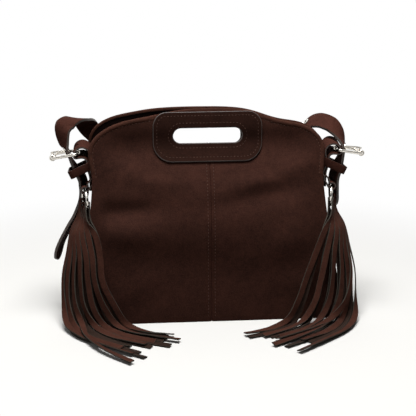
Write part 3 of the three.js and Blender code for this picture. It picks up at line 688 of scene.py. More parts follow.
def spaced(line, count, closed=False):
    """Points at even steps along a line."""
    reach = [0.0]
    for before, after in zip(line, line[1:]):
        reach.append(reach[-1] + (after - before).length)
    points = []
    index = 0
    for step in range(count):
        target = reach[-1] * step / (count if closed else count - 1)
        while index < len(line) - 2 and reach[index + 1] < target:
            index += 1
        run = reach[index + 1] - reach[index]
        share = (target - reach[index]) / run if run > 0 else 0.0
        points.append(line[index].lerp(line[index + 1], min(1.0, share)))
    return points


def slot_outline(face, outset):
    """The hand slot's outline on the front or back, moved out by a distance."""
    middle = TOP_HEIGHT - SLOT_DROP
    half_length = SLOT_LENGTH / 2 + outset
    half_height = SLOT_HEIGHT / 2 + outset
    low = middle - half_height - (SLOT_BACK_DROP if face > 0 else 0)
    return rounded_outline(
        HANDLE_OFFSET - half_length, HANDLE_OFFSET + half_length,
        low, middle + half_height, half_height, half_height, SLOT_POINTS,
    )


def slot_tool(face):
    """A bar with the outline of the hand slot, through one side of the bag."""
    tool = drawn_loop("slot_tool", [(point.x, 0, point.y) for point in slot_outline(face, 0)])
    edit(tool, bpy.ops.mesh.edge_face_add)
    edit(tool, bpy.ops.mesh.extrude_region_move,
         TRANSFORM_OT_translate={"value": (0, 2 * face * BASE_HALF_DEPTH, 0)})
    edit(tool, bpy.ops.mesh.normals_make_consistent)
    return tool


hand_slots = {face: slot_tool(face) for face in (-1, 1)}
print("Hand slot tools:", len(hand_slots))

# %% Four panel halves
PANEL_COLUMNS = 44
PANEL_ROWS = 72
SEAM_CROWDING = 1.35
RIM_ROUNDING = 0.0009


def panel_half(face, side, name):
    """One half of the front or back, its outer face on the panel's shape."""
    def place(u, v):
        run = u if face < 0 else 1 - u
        point = panel_point(PANEL_CUTS[face, side], (run if side > 0 else 1 - run) ** SEAM_CROWDING, v)
        return panel_face(face, side * point.x, point.y)

    half = lay_sheet(name, PANEL_COLUMNS, PANEL_ROWS, place)
    thicken(half, PANEL_THICKNESS, (panel_suede, rim_wear_and_painted_highlight, dark_lining_and_painted_shade), round_edge=RIM_ROUNDING)
    cut(half, hand_slots[face])
    return half


for face_name, face in (("front", -1), ("back", 1)):
    for side_name, side in (("left", -1), ("right", 1)):
        node = f"{face_name}_panel_{side_name}"
        set_piece(panel_half(face, side, f"suede_{node}"), "bag", "suede", node)
for tool in hand_slots.values():
    drop(tool)

# %% [markdown]
# ### Seam tape
# Behind a centre seam a narrow tape is sewn over the joint, so that no light passes between the halves. It
# is a thin strip laid on the inside of the panels, left out where the hand slot is cut.

# %% Seam tape
TAPE_HALF_WIDTH = 0.005
TAPE_THICKNESS = 0.0008
TAPE_COLUMNS = 4
TAPE_ROWS = 60
TAPE_RUNS = {"low": (0.004, 0.184), "high": (0.2105, 0.2265)}


def seam_tape(name, face, low, high):
    def place(u, v):
        x = mix(face * TAPE_HALF_WIDTH, -face * TAPE_HALF_WIDTH, u)
        z = mix(low, high, v)
        return panel_face(face, x, z) - panel_normal(face, x, z) * (PANEL_THICKNESS + GAP / 3)

    tape = lay_sheet(name, TAPE_COLUMNS, TAPE_ROWS, place)
    thicken(tape, TAPE_THICKNESS, (dark_lining_and_painted_shade,))
    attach(tape, "bag")
    print(tape.name, "has", len(tape.data.polygons), "faces")


for face_name, face in (("front", -1), ("back", 1)):
    for run_name, (low, high) in TAPE_RUNS.items():
        seam_tape(f"suede_seam_tape_{face_name}_{run_name}", face, low, high)

# %% [markdown]
# ## Gussets and base
# The gusset closes each end up to the mouth and folds in a little between the panels. The base is one
# flat piece of suede. Both are plain, and mostly hidden.

# %% Gussets and base
GUSSET_THICKNESS = 0.002
GUSSET_INSET = 0.0015
GUSSET_FOLD = 0.003
GUSSET_PLEAT = 0.0012
PLEAT_WAVES = (9, 14)
GUSSET_GRID = (26, 40)
BASE_GRID = (40, 14)
GUSSET_ROUNDING = 0.0006


def gusset_face(z, share):
    """How far out the gusset's outer face lies: share is -1 at the front and 1 at the back."""
    fold = GUSSET_FOLD * (z / WAIST_HEIGHT) * (1 - share ** 2)
    return half_width(z) - GUSSET_INSET - fold


def gusset(side, name):
    bottom = PANEL_THICKNESS + GAP

    def place(u, v):
        share = (2 * u - 1) * side
        z = mix(bottom, WAIST_HEIGHT, v)
        reach = half_depth(side * half_width(z), z) - PANEL_THICKNESS - GAP
        wave = math.sin(PLEAT_WAVES[0] * share + PLEAT_WAVES[1] * z)
        pleat = GUSSET_PLEAT * wave * (1 - share ** 2) ** 2
        return Vector((side * (gusset_face(z, share) - abs(pleat)), share * reach, z))

    sheet = lay_sheet(name, *GUSSET_GRID, place)
    thicken(sheet, GUSSET_THICKNESS, (panel_suede, rim_wear_and_painted_highlight, dark_lining_and_painted_shade), round_edge=GUSSET_ROUNDING)
    return sheet


def base(name):
    half_length = BASE_HALF_WIDTH - BASE_CORNER
    half_breadth = BASE_HALF_DEPTH - PANEL_THICKNESS - GAP
    sheet = lay_sheet(name, *BASE_GRID, lambda u, v: Vector((
        mix(half_length, -half_length, u), mix(-half_breadth, half_breadth, v), 0,
    )))
    thicken(sheet, PANEL_THICKNESS, (panel_suede, rim_wear_and_painted_highlight, dark_lining_and_painted_shade), round_edge=GUSSET_ROUNDING)
    return sheet


for side_name, side in (("left", -1), ("right", 1)):
    set_piece(gusset(side, f"suede_gusset_{side_name}"), "bag", "suede", f"gusset_{side_name}")
set_piece(base("suede_base"), "bag", "suede", "base_panel")

# %% [markdown]
# ## Handle patches
# A stiff patch with round corners is sewn round the hand slot on each side. Two loops, the slot and the
# outline, are bridged with rings of faces, laid on the panel, thickened outward and rounded. The cut
# edge is painted.

# %% Handle patches
PATCH_WIDTH = 0.119
PATCH_HEIGHT = 0.053
PATCH_DROP = 0.0012
PATCH_TOP_CORNER = 0.015
PATCH_BOTTOM_CORNER = 0.020
PATCH_THICKNESS = 0.0024
PATCH_RINGS = 10
PATCH_ROUNDING = 0.0007


def patch_outline(inset):
    """The handle patch's outline, moved in by a distance."""
    top = TOP_HEIGHT - PATCH_DROP
    return rounded_outline(
        HANDLE_OFFSET - PATCH_WIDTH / 2 + inset, HANDLE_OFFSET + PATCH_WIDTH / 2 - inset,
        top - PATCH_HEIGHT + inset, top - inset,
        PATCH_BOTTOM_CORNER - inset, PATCH_TOP_CORNER - inset, SLOT_POINTS,
    )


def handle_patch(face, name):
    points = slot_outline(face, 0) + patch_outline(0)
    edges = [
        (start + step, start + (step + 1) % SLOT_POINTS)
        for start in (0, SLOT_POINTS) for step in range(SLOT_POINTS)
    ]
    mesh = bpy.data.meshes.new(name)
    mesh.from_pydata([(point.x, 0, point.y) for point in points], edges, [])
    patch = bpy.data.objects.new(name, mesh)
    bpy.context.collection.objects.link(patch)
    edit(patch, bpy.ops.mesh.bridge_edge_loops, number_cuts=PATCH_RINGS, interpolation="LINEAR")
    for vertex in patch.data.vertices:
        x, z = vertex.co.x, vertex.co.z
        vertex.co = panel_face(face, x, z) + panel_normal(face, x, z) * GAP
    edit(patch, bpy.ops.mesh.normals_make_consistent)
    if patch.data.polygons[0].normal.y * face < 0:
        edit(patch, bpy.ops.mesh.flip_normals)
    thicken(patch, PATCH_THICKNESS, (patch_suede, trim_edge, dark_lining_and_painted_shade), inward=1.0,
            round_edge=PATCH_ROUNDING)
    return patch


for face_name, face in (("front", -1), ("back", 1)):
    node = f"{face_name}_handle_patch"
    set_piece(handle_patch(face, f"suede_{node}"), "bag", "trim_suede", node)

# %% [markdown]
# ## Turned rims
# The rim of each side is turned over and topstitched, so it stands up as a soft roll that catches the
# light. It is a strip laid over the edge, from waist to waist: a profile of insets from the rim and lifts
# from the face is carried along the rim. The roll is flat where the handle patch covers it.

# %% Turned rims
HEM_PROFILE_MM = (
    (2.2, -2.9), (0.5, -2.8), (-0.4, -2.1), (-0.7, -1.2), (-0.4, -0.2),
    (0.5, 0.5), (1.7, 0.8), (3.0, 0.65), (4.1, 0.15), (4.6, -0.4),
)
HEM_TAPER = 0.010
HEM_FLAT_MM = 0.15
HEM_THICKNESS = 0.0004
HEM_PATCH_EASE = 0.006
RIM_STEPS = 90
SHOULDER_STEPS = 12


def rim_points(face, side):
    """Points of a rim from the centre round the shoulder to the waist, with the ways out of the cloth."""
    cut_line = PANEL_CUTS[face, side]
    rim = [top_edge(cut_line, step / RIM_STEPS) for step in range(RIM_STEPS + 1)]
    for step in range(1, SHOULDER_STEPS + 1):
        z = mix(SHOULDER_HEIGHT, WAIST_HEIGHT, step / SHOULDER_STEPS)
        rim.append(Vector((half_width(z, cut_line["waist"], cut_line["rim"]), z)))
    points = []
    for before, point, after in zip(rim, rim[1:], rim[2:]):
        along = (after - before).normalized()
        points.append((Vector((side * point.x, point.y)), Vector((side * abs(along.y), abs(along.x)))))
    return points


def hem(name, face):
    stations = rim_points(face, -1)[::-1] + rim_points(face, 1)
    if face > 0:
        stations.reverse()
    last = len(stations) - 1
    ends = (stations[0][0], stations[last][0])

    def place(u, v):
        inset, lift = HEM_PROFILE_MM[round(u * (len(HEM_PROFILE_MM) - 1))]
        point, outward = stations[round(v * last)]
        full = smooth(min((point - end).length for end in ends) / HEM_TAPER)
        free = smooth((abs(point.x - HANDLE_OFFSET) - PATCH_WIDTH / 2) / HEM_PATCH_EASE)
        if lift > 0:
            lift = mix(HEM_FLAT_MM, lift, full * free)
        if inset < 0:
            inset *= full
        flat = point - outward * inset * MM
        return panel_face(face, flat.x, flat.y) + panel_normal(face, flat.x, flat.y) * lift * MM

    roll = lay_sheet(name, len(HEM_PROFILE_MM) - 1, last, place)
    thicken(roll, HEM_THICKNESS, (hem_suede_painted_highlight,), smooth_deg=70)
    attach(roll, "bag")
    print(roll.name, "has", len(roll.data.polygons), "faces")


for face_name, face in (("front", -1), ("back", 1)):
    hem(f"suede_hem_{face_name}", face)

# %% [markdown]
# ## Shoulder strap
# The strap is one long strip of leather. Its tails go down through the buckles, and its middle goes over
# the top and hangs behind the bag. A strip is laid along a smooth route through a few stops, each with
# the direction across the strap there, so it can turn over as leather does.

# %% Routes
def route_point(stops, place):
    """Point on a smooth route through stops, with place counted in stops."""
    last = len(stops) - 1
    low = min(last - 1, max(0, int(place)))
    share = place - low
    start = stops[low]
    end = stops[low + 1]
    before = stops[low - 1] if low > 0 else 2 * start - end
    after = stops[low + 2] if low + 2 <= last else 2 * end - start
    gaps = [math.sqrt((b - a).length) or 1.0 for a, b in ((before, start), (start, end), (end, after))]
    leave = (start - before) / gaps[0] - (end - before) / (gaps[0] + gaps[1]) + (end - start) / gaps[1]
    arrive = (end - start) / gaps[1] - (after - start) / (gaps[1] + gaps[2]) + (after - end) / gaps[2]
    leave *= gaps[1]
    arrive *= gaps[1]
    square = 3 * (end - start) - 2 * leave - arrive
    cube = 2 * (start - end) + leave + arrive
    return start + leave * share + square * share ** 2 + cube * share ** 3


# %% Stops of the strap
STRAP_WIDTH = 0.022
STRAP_THICKNESS = 0.003
GUSSET_RIM = half_width(WAIST_HEIGHT) - GUSSET_INSET + 0.000988
RING_X = GUSSET_RIM + 0.010
RING_RADIUS = 0.011
RING_Z = WAIST_HEIGHT - 0.012 - RING_RADIUS
TAIL_X = RING_X + 0.0075
WINDOW_X = 0.153492
WINDOW_Z = 0.183731
RUN_Z = 0.006914
STRAP_REST = STRAP_THICKNESS / 2 + 2 * GAP
LEFT_WINDOW_STOP = 8
RIGHT_WINDOW_STOP = 34
# Each stop is a place and the direction across the strap there, from the left tail to the right one
STRAP_STOPS = (
    ((-half_width(0.060) - 0.0315, 0.005, 0.060), (0.28, 1, 0)),
    ((-half_width(0.076) - 0.0302, 0.005, 0.076), (0.28, 1, 0)),
    ((-half_width(0.096) - 0.0228, 0.007, 0.096), (0.30, 1, 0)),
    ((-TAIL_X - 0.0015, 0.0115, RING_Z - 0.019), (0.36, 1, 0)),
    ((-TAIL_X + 0.0052, 0.0112, RING_Z), (0.36, 1, 0)),
    ((-TAIL_X + 0.0042, 0.008, WAIST_HEIGHT - 0.006), (0.3, 1, 0)),
    ((-TAIL_X - 0.0020, 0.002, WAIST_HEIGHT + 0.008), (0.1, 1, 0)),
    ((-WINDOW_X + 0.0026, 0, WINDOW_Z - RUN_Z), (-0.1, 1, 0)),
    ((-WINDOW_X, 0, WINDOW_Z), (-0.17, 1, 0)),
    ((-WINDOW_X - 0.0027, 0, WINDOW_Z + RUN_Z), (-0.45, 0.9, 0)),
    ((-WINDOW_X - 0.0038, 0.001, WINDOW_Z + 0.0205), (-0.68, 0.73, -0.05)),
    ((-WINDOW_X - 0.0010, 0.005, WINDOW_Z + 0.0275), (-0.845, 0.475, 0.244)),
    ((-WINDOW_X + 0.0065, 0.0135, WINDOW_Z + 0.0318), (-0.76, 0.64, 0.14)),
    ((-WINDOW_X + 0.0150, 0.0235, WINDOW_Z + 0.0295), (-0.8, 0.6, -0.13)),
    ((-WINDOW_X + 0.0225, 0.0325, WINDOW_Z + 0.0205), (-0.85, -0.05, -0.53)),
    ((-WINDOW_X + 0.0295, 0.0405, WINDOW_Z + 0.0065), (-0.7, 0.45, -0.1)),
    ((-WINDOW_X + 0.0365, 0.048, WINDOW_Z - 0.019), (-0.2, 1, 0)),
    ((-0.110, 0.056, 0.120), (0, 1, 0)),
    ((-0.101, 0.062, 0.070), (0, 1, 0)),
    ((-0.084, 0.066, 0.028), (0, 1, 0)),
    ((-0.058, 0.068, STRAP_REST + 0.004), (0, 1, 0)),
    ((-0.030, 0.069, STRAP_REST), (0, 1, 0)),
    ((0, 0.070, STRAP_REST), (0, 1, 0)),
    ((0.030, 0.069, STRAP_REST), (0, 1, 0)),
    ((0.058, 0.068, STRAP_REST + 0.004), (0, 1, 0)),
    ((0.082, 0.066, 0.028), (0, 1, 0)),
    ((0.097, 0.062, 0.070), (0, 1, 0)),
    ((0.103, 0.056, 0.120), (0, 1, 0)),
    ((WINDOW_X - 0.0440, 0.0445, WINDOW_Z + 0.008), (0.3, 0.8, 0.35)),
    ((WINDOW_X - 0.0372, 0.036, WINDOW_Z + 0.0212), (0.5, 0.65, 0.5)),
    ((WINDOW_X - 0.0275, 0.0245, WINDOW_Z + 0.0258), (0.54, 0.62, 0.57)),
    ((WINDOW_X - 0.0168, 0.014, WINDOW_Z + 0.0235), (0.74, 0.52, 0.41)),
    ((WINDOW_X - 0.0098, 0.007, WINDOW_Z + 0.0162), (0.66, 0.72, 0.16)),
    ((WINDOW_X - 0.0052, 0.002, WINDOW_Z + 0.0062), (0.41, 0.9, -0.1)),
    ((WINDOW_X - 0.0033, 0, WINDOW_Z - 0.001), (0.18, 1, -0.1)),
    ((WINDOW_X - 0.0050, 0, WINDOW_Z - 0.0095), (0.05, 1, 0)),
    ((TAIL_X + 0.0031, 0.002, WAIST_HEIGHT + 0.0075), (-0.15, 1, 0)),
    ((TAIL_X + 0.0003, 0.008, WAIST_HEIGHT - 0.0075), (-0.22, 1, 0)),
    ((TAIL_X + 0.0010, 0.0112, RING_Z), (-0.22, 1, 0)),
    ((TAIL_X + 0.0020, 0.011, RING_Z - 0.018), (-0.22, 1, 0)),
)
STRAP_PLACES = [Vector(place) for place, across in STRAP_STOPS]
STRAP_LAST = len(STRAP_STOPS) - 1


def strap_station(stop):
    """Point on the strap and the direction across it, at a place counted in stops."""
    low = min(STRAP_LAST - 1, int(stop))
    across = Vector(STRAP_STOPS[low][1]).lerp(Vector(STRAP_STOPS[low + 1][1]), stop - low)
    return route_point(STRAP_PLACES, stop), across


def stop_along(stop, length):
    """The stop that lies a length along the strap from another one."""
    step = math.copysign(0.01, length)
    travelled = 0.0
    point = strap_station(stop)[0]
    while travelled < abs(length):
        stop += step
        following = strap_station(stop)[0]
        travelled += (following - point).length
        point = following
    return stop


print("Stops of the strap:", len(STRAP_STOPS))

# %% [markdown]
# The strip is thickened both ways from its middle, its edges are rounded and painted, and its tails are
# rounded off. The holes for the eyelets are punched with a cylinder turned square to the strap's face.

# %% Strap and eyelet holes
EYELET_BORE = 0.0032
EYELET_WALL = 0.0006
EYELET_FLANGE = 0.0052
EYELET_FLANGE_THICKNESS = 0.0007
EYELET_LIFT = 0.0007
EYELET_STOPS = {
    "left_1": LEFT_WINDOW_STOP,
    "left_2": stop_along(LEFT_WINDOW_STOP, -0.060),
    "right_1": RIGHT_WINDOW_STOP,
    "right_2": stop_along(RIGHT_WINDOW_STOP, -0.065),
}
STRAP_COLUMNS = 6
STRAP_ROUNDING = 0.0009
STRAP_STEPS_PER_STOP = 8
TIP_STEPS = 26
TIP_LENGTH = 0.012
TIP_NARROWEST = 0.12


def onto_strap(stop):
    """The frame that turns a piece drawn along Z square to the strap's face."""
    point, across = strap_station(stop)
    along = (strap_station(stop + 0.05)[0] - strap_station(stop - 0.05)[0]).normalized()
    side = (across - along * across.dot(along)).normalized()
    normal = along.cross(side)
    turn = Matrix((side, normal.cross(side), normal)).transposed()
    return Matrix.Translation(point) @ turn.to_4x4()


def strap_stations():
    """Stations of the whole strap, narrowed to a round tip at each tail."""
    stops = []
    for low in range(STRAP_LAST):
        steps = TIP_STEPS if low in (0, STRAP_LAST - 1) else STRAP_STEPS_PER_STOP
        stops += [low + step / steps for step in range(steps)]
    stops.append(STRAP_LAST)
    points = [strap_station(stop) for stop in stops]
    stations = []
    for point, across in points:
        tip = min((point - points[0][0]).length, (point - points[-1][0]).length)
        short = max(0.0, 1 - tip / TIP_LENGTH)
        stations.append((point, across, STRAP_WIDTH * max(TIP_NARROWEST, math.sqrt(1 - short ** 2))))
    return stations


def shoulder_strap(name):
    strap = lay_ribbon(name, strap_stations(), columns=STRAP_COLUMNS)
    thicken(strap, STRAP_THICKNESS, (strap_suede, strap_edge, strap_suede), inward=0.0,
            round_edge=STRAP_ROUNDING, round_finish=0)
    for stop in EYELET_STOPS.values():
        bpy.ops.object.select_all(action="DESELECT")
        bore = EYELET_BORE + EYELET_WALL + GAP
        bpy.ops.mesh.primitive_cylinder_add(vertices=32, radius=bore, depth=4 * STRAP_THICKNESS)
        punch = bpy.context.object
        punch.data.transform(onto_strap(stop))
        cut(strap, punch)
        drop(punch)
    return strap


strap = shoulder_strap("leather_strap")
set_piece(strap, "bag", "strap_leather", "shoulder_strap")

# %% [markdown]
# ## Turned metal
# Eyelets and rollers are turned: half of the section is drawn as a loop and spun round the Z axis.

# %% Eyelets
def turned(name, section, steps):
    """A ring spun from a closed section of radius and height."""
    ring = drawn_loop(name, [(radius, 0, height) for radius, height in section])
    edit(ring, bpy.ops.mesh.spin, steps=steps, angle=2 * math.pi, center=(0, 0, 0), axis=(0, 0, 1))
    edit(ring, bpy.ops.mesh.remove_doubles, threshold=0.00001)
    edit(ring, bpy.ops.mesh.normals_make_consistent)
    ring.data.materials.append(nickel)
    pick(ring)
    bpy.ops.object.shade_smooth_by_angle(angle=math.radians(40))
    return ring


def eyelet(name, stop):
    """A barrel through the strap with a rounded flange on both faces."""
    barrel = EYELET_BORE + EYELET_WALL
    face = STRAP_THICKNESS / 2 + EYELET_LIFT
    rim = face + EYELET_FLANGE_THICKNESS
    upper = [
        (barrel, face), (EYELET_FLANGE - 0.0002, face), (EYELET_FLANGE, face + 0.0002),
        (EYELET_FLANGE - 0.0003, rim - 0.0002), (0.5 * (EYELET_FLANGE + barrel), rim),
        (EYELET_BORE + 0.0003, rim - 0.0001), (EYELET_BORE, rim - 0.0005),
    ]
    section = upper + [(radius, -height) for radius, height in reversed(upper)]
    ring = turned(name, section, 28)
    ring.data.transform(onto_strap(stop))
    return ring


for name, stop in EYELET_STOPS.items():
    set_piece(eyelet(f"nickel_eyelet_{name}", stop), "bag", "nickel", f"strap_eyelet_{name}")

# %% [markdown]
# ## Buckle tabs, keepers and ring loops
# At each end a strip is folded over the buckle's heel bar and sewn to the gusset. A slanted loop, the
# keeper, holds the strap's tail below it, and a narrow strip carries the tassel ring. All are bent
# strips with painted edges. The right end is drawn, and the left is its mirror.

# %% Buckle tabs
STRIP_COLUMNS = 4
STRIP_ROUNDING = 0.0005
TAB_THICKNESS = 0.0022
TAB_SEWN = 0.014
TAB_LOOP_RADIUS = 0.0088
TAB_HEEL_TURN = -110
# How much the loop rises toward the back, and how much the back edge of the stem turns in
TAB_LEAN = 0.2
TAB_TWIST = 0.25
TAB_STEM_X = 0.126388
TAB_LOOP_X = 0.136888
TAB_LOOP_Z = WAIST_HEIGHT + 0.027
HEEL_X = 0.142688
PRONG_WIDTH = 0.0024
PRONG_SLOT_PLAY = 0.0012
PRONG_EYE = 0.0035


def bezier(points, count):
    """Points of a cubic curve between the first and last of four points."""
    line = []
    for step in range(count):
        t = step / (count - 1)
        weights = ((1 - t) ** 3, 3 * t * (1 - t) ** 2, 3 * t * t * (1 - t), t ** 3)
        line.append(sum((Vector(p) * w for p, w in zip(points, weights)), Vector((0, 0))))
    return line


def arc(x, z, radius, start, end, count):
    turns = [math.radians(mix(start, end, step / (count - 1))) for step in range(count)]
    return [Vector((x + radius * math.cos(turn), z + radius * math.sin(turn))) for turn in turns]


def bent_strip(name, side, line, thickness, width, shift=0.0, rounding=STRIP_ROUNDING):
    """A strip of leather bent along a line in the XZ plane of the right end, mirrored for the left."""
    across = Vector((0, side, 0))
    stations = [(Vector((side * point.x, shift, point.y)), across, width) for point in line]
    strip = lay_ribbon(name, stations, columns=STRIP_COLUMNS)
    thicken(strip, thickness, (strap_suede, strap_edge, strap_suede), inward=0.0,
            round_edge=rounding, round_finish=0)
    return strip


def buckle_tab(name, side):
    foot = WAIST_HEIGHT - TAB_SEWN
    return_x = TAB_STEM_X + TAB_THICKNESS + GAP
    left = TAB_LOOP_X - TAB_LOOP_RADIUS
    halfway = mix(WAIST_HEIGHT, TAB_LOOP_Z, 0.5)
    rise = bezier((
        (TAB_STEM_X, WAIST_HEIGHT), (TAB_STEM_X, halfway), (left, halfway), (left, TAB_LOOP_Z),
    ), 10)
    around = arc(TAB_LOOP_X, TAB_LOOP_Z, TAB_LOOP_RADIUS, 180, 0, 26)
    heel = arc(HEEL_X, TAB_LOOP_Z, TAB_LOOP_X + TAB_LOOP_RADIUS - HEEL_X, 0, TAB_HEEL_TURN, 12)
    end = heel[-1]
    back = bezier((
        end, (mix(end.x, return_x, 0.84), end.y + 0.002),
        (return_x, mix(WAIST_HEIGHT, end.y, 0.95)), (return_x, WAIST_HEIGHT),
    ), 18)
    line = [Vector((TAB_STEM_X, foot)), *rise, *around[1:], *heel[1:], *back[1:], Vector((return_x, foot))]
    tab = bent_strip(name, side, line, TAB_THICKNESS, STRAP_WIDTH)
    for vertex in tab.data.vertices:
        height = (vertex.co.z - WAIST_HEIGHT) / (TAB_LOOP_Z - WAIST_HEIGHT)
        stem = smooth(2 * height) * smooth(2 - 2 * height)
        vertex.co.x -= side * TAB_TWIST * vertex.co.y * stem
        vertex.co.z += TAB_LEAN * vertex.co.y * smooth(height)
    bpy.ops.object.select_all(action="DESELECT")
    bpy.ops.mesh.primitive_cube_add(size=1)
    slot = bpy.context.object
    slot.scale = (2 * TAB_LOOP_RADIUS, PRONG_WIDTH + PRONG_SLOT_PLAY, 2 * TAB_LOOP_RADIUS)
    reach = HEEL_X - PRONG_EYE - PRONG_SLOT_PLAY + TAB_LOOP_RADIUS
    slot.location = (side * reach, 0, TAB_LOOP_Z)
    bpy.ops.object.transform_apply()
    cut(tab, slot)
    drop(slot)
    return tab


for side_name, side in (("left", -1), ("right", 1)):
    node = f"buckle_tab_{side_name}"
    set_piece(buckle_tab(f"leather_{node}", side), "bag", "trim_suede", node)

# %% Keepers
KEEPER_WIDTH = 0.009
KEEPER_THICKNESS = 0.0018
KEEPER_PLAY = 0.0009
KEEPER_SLACK = 0.0012
KEEPER_CORNER = 0.0016
KEEPER_TILT = math.radians(25)
KEEPER_DROP = 0.017
KEEPER_POINTS = 72


def tail_reach():
    """How far out the strap lies inside the right keeper, along the keeper's own tilt."""
    reach = 0.0
    for step in range(25):
        point = strap_station(RIGHT_WINDOW_STOP + 0.5 + 0.1 * step)[0]
        out = point.x - TAB_LOOP_X
        up = point.z - (TAB_LOOP_Z - KEEPER_DROP)
        level = out * math.sin(KEEPER_TILT) + up * math.cos(KEEPER_TILT)
        if abs(level) < 0.5 * KEEPER_WIDTH + STRAP_THICKNESS:
            reach = max(reach, out * math.cos(KEEPER_TILT) - up * math.sin(KEEPER_TILT))
    return reach


def keeper(name, side):
    """A closed band round the tab and the strap's tail, drawn level and then tilted."""
    wall = KEEPER_THICKNESS / 2
    inner = -(TAB_LOOP_X - TAB_STEM_X + TAB_THICKNESS + KEEPER_WIDTH * math.sin(KEEPER_TILT)) - wall
    outer = tail_reach() + STRAP_THICKNESS / 2 + GAP + KEEPER_SLACK + wall
    half = STRAP_WIDTH / 2 + KEEPER_PLAY + wall
    loop = rounded_outline(inner, outer, -half, half, KEEPER_CORNER, KEEPER_CORNER, KEEPER_POINTS)
    band = level_band(name, loop, KEEPER_WIDTH)
    band.data.transform(Matrix.Rotation(KEEPER_TILT, 4, "Y"))
    band.data.transform(Matrix.Translation((TAB_LOOP_X, 0, TAB_LOOP_Z - KEEPER_DROP)))
    mirror_left(band, side)
    thicken(band, KEEPER_THICKNESS, (strap_suede, strap_edge, strap_suede), inward=0.0,
            round_edge=STRIP_ROUNDING, round_finish=0)
    return band


for side_name, side in (("left", -1), ("right", 1)):
    node = f"keeper_{side_name}"
    set_piece(keeper(f"leather_{node}", side), "bag", "trim_suede", node)

# %% Ring loops
RING_WIRE = 0.0028
RING_FORWARD = 0.0148
LOOP_WIDTH = 0.007
LOOP_THICKNESS = 0.0016
LOOP_PLAY = 0.0015
LOOP_SEWN = 0.011
LOOP_ROUNDING = 0.0004


def ring_loop(name, side):
    radius = RING_WIRE / 2 + LOOP_PLAY + LOOP_THICKNESS / 2
    wire_z = RING_Z + RING_RADIUS
    stem_x = GUSSET_RIM + GAP + LOOP_THICKNESS / 2
    top = WAIST_HEIGHT
    foot = top - LOOP_SEWN + LOOP_THICKNESS
    line = [
        Vector((stem_x, top)),
        Vector((stem_x, mix(top, foot, 0.5))),
        Vector((mix(stem_x, RING_X - radius, 0.5), mix(top, foot, 0.9))),
        *arc(RING_X, wire_z, radius, -170, 130, 24),
        Vector((mix(stem_x, RING_X, 0.45) + LOOP_THICKNESS, mix(wire_z, top, 0.62))),
        Vector((stem_x + LOOP_THICKNESS + GAP, top)),
    ]
    return bent_strip(name, side, line, LOOP_THICKNESS, LOOP_WIDTH, -RING_FORWARD, LOOP_ROUNDING)


for side_name, side in (("left", -1), ("right", 1)):
    node = f"ring_loop_{side_name}"
    set_piece(ring_loop(f"leather_{node}", side), "bag", "trim_suede", node)

# %% [markdown]
# ## Roller buckles and tassel rings
# The frame is a closed loop of edges, drawn up into a band, thickened and rounded like cast wire. The
# roller is turned. The prong is a strip wound round the heel bar. A ring is a plain torus.

# %% Buckles
FRAME_LENGTH = 0.026
FRAME_WIRE = 0.0032
FRAME_INSIDE = 0.0122
FRAME_CORNER = 0.0024
FRAME_DROOP = math.radians(9)
ROLLER_BORE = 0.0024
ROLLER_RADIUS = 0.0034
ROLLER_HALF = 0.011
PRONG_BEND = FRAME_LENGTH - ROLLER_RADIUS
PRONG_TIP = FRAME_LENGTH + 0.002
PRONG_BORE = 0.002
PRONG_THICKNESS = 0.0014
PRONG_TIP_SHARE = 0.7
PRONG_ROUNDING = 0.0003
FRAME_ROUNDING = 0.0011
ROLLER_ROUNDING = 0.0004
FRAME_POINTS = 80


def onto_buckle(piece, side):
    """Lets a piece drawn about the heel bar droop and sets it at its end of the bag."""
    piece.data.transform(Matrix.Rotation(FRAME_DROOP, 4, "Y"))
    piece.data.transform(Matrix.Translation((HEEL_X, 0, TAB_LOOP_Z)))
    mirror_left(piece, side)


def buckle_frame(name, side):
    middle = FRAME_INSIDE + FRAME_WIRE / 2
    loop = rounded_outline(0, FRAME_LENGTH, -middle, middle, FRAME_CORNER, FRAME_CORNER, FRAME_POINTS)
    wire = level_band(name, loop, FRAME_WIRE)
    thicken(wire, FRAME_WIRE, (nickel,), inward=0.0, round_edge=FRAME_ROUNDING)
    onto_buckle(wire, side)
    return wire


def buckle_roller(name, side):
    rounding = ROLLER_ROUNDING
    end = ROLLER_HALF
    section = [
        (ROLLER_BORE, -end), (ROLLER_RADIUS - rounding, -end), (ROLLER_RADIUS, -end + rounding),
        (ROLLER_RADIUS, end - rounding), (ROLLER_RADIUS - rounding, end), (ROLLER_BORE, end),
    ]
    tube = turned(name, section, 36)
    tube.data.transform(Matrix.Rotation(math.radians(-90), 4, "X"))
    tube.data.transform(Matrix.Translation((FRAME_LENGTH, 0, 0)))
    onto_buckle(tube, side)
    return tube


def buckle_prong(name, side):
    """A flat strip wound round the heel bar, reaching over the roller and thinned at its tip."""
    radius = 0.5 * (PRONG_EYE + PRONG_BORE)
    line = arc(0, 0, radius, 350, 90, 26)
    lift = ROLLER_RADIUS + GAP
    line += [Vector((x, z)) for x, z in (
        (0.0035, 0.0029), (0.010, 0.0035), (0.0165, 0.0041), (PRONG_BEND, lift + 0.0008),
        (FRAME_LENGTH, lift + 0.0007), (PRONG_TIP, lift + 0.0004),
    )]
    stations = []
    for index, point in enumerate(line):
        width = PRONG_WIDTH * (PRONG_TIP_SHARE if index == len(line) - 1 else 1)
        stations.append((Vector((point.x, 0, point.y)), Vector((0, 1, 0)), width))
    prong = lay_ribbon(name, stations, columns=2)
    thicken(prong, PRONG_THICKNESS, (nickel,), inward=0.0, round_edge=PRONG_ROUNDING, smooth_deg=40)
    onto_buckle(prong, side)
    return prong


for side_name, side in (("left", -1), ("right", 1)):
    set_piece(buckle_frame(f"nickel_frame_{side_name}", side), f"buckle_{side_name}", "nickel",
              f"buckle_frame_{side_name}")
    set_piece(buckle_roller(f"nickel_roller_{side_name}", side), f"roller_{side_name}", "nickel",
              f"buckle_roller_{side_name}")
    set_piece(buckle_prong(f"nickel_prong_{side_name}", side), f"prong_{side_name}", "nickel",
              f"buckle_prong_{side_name}")

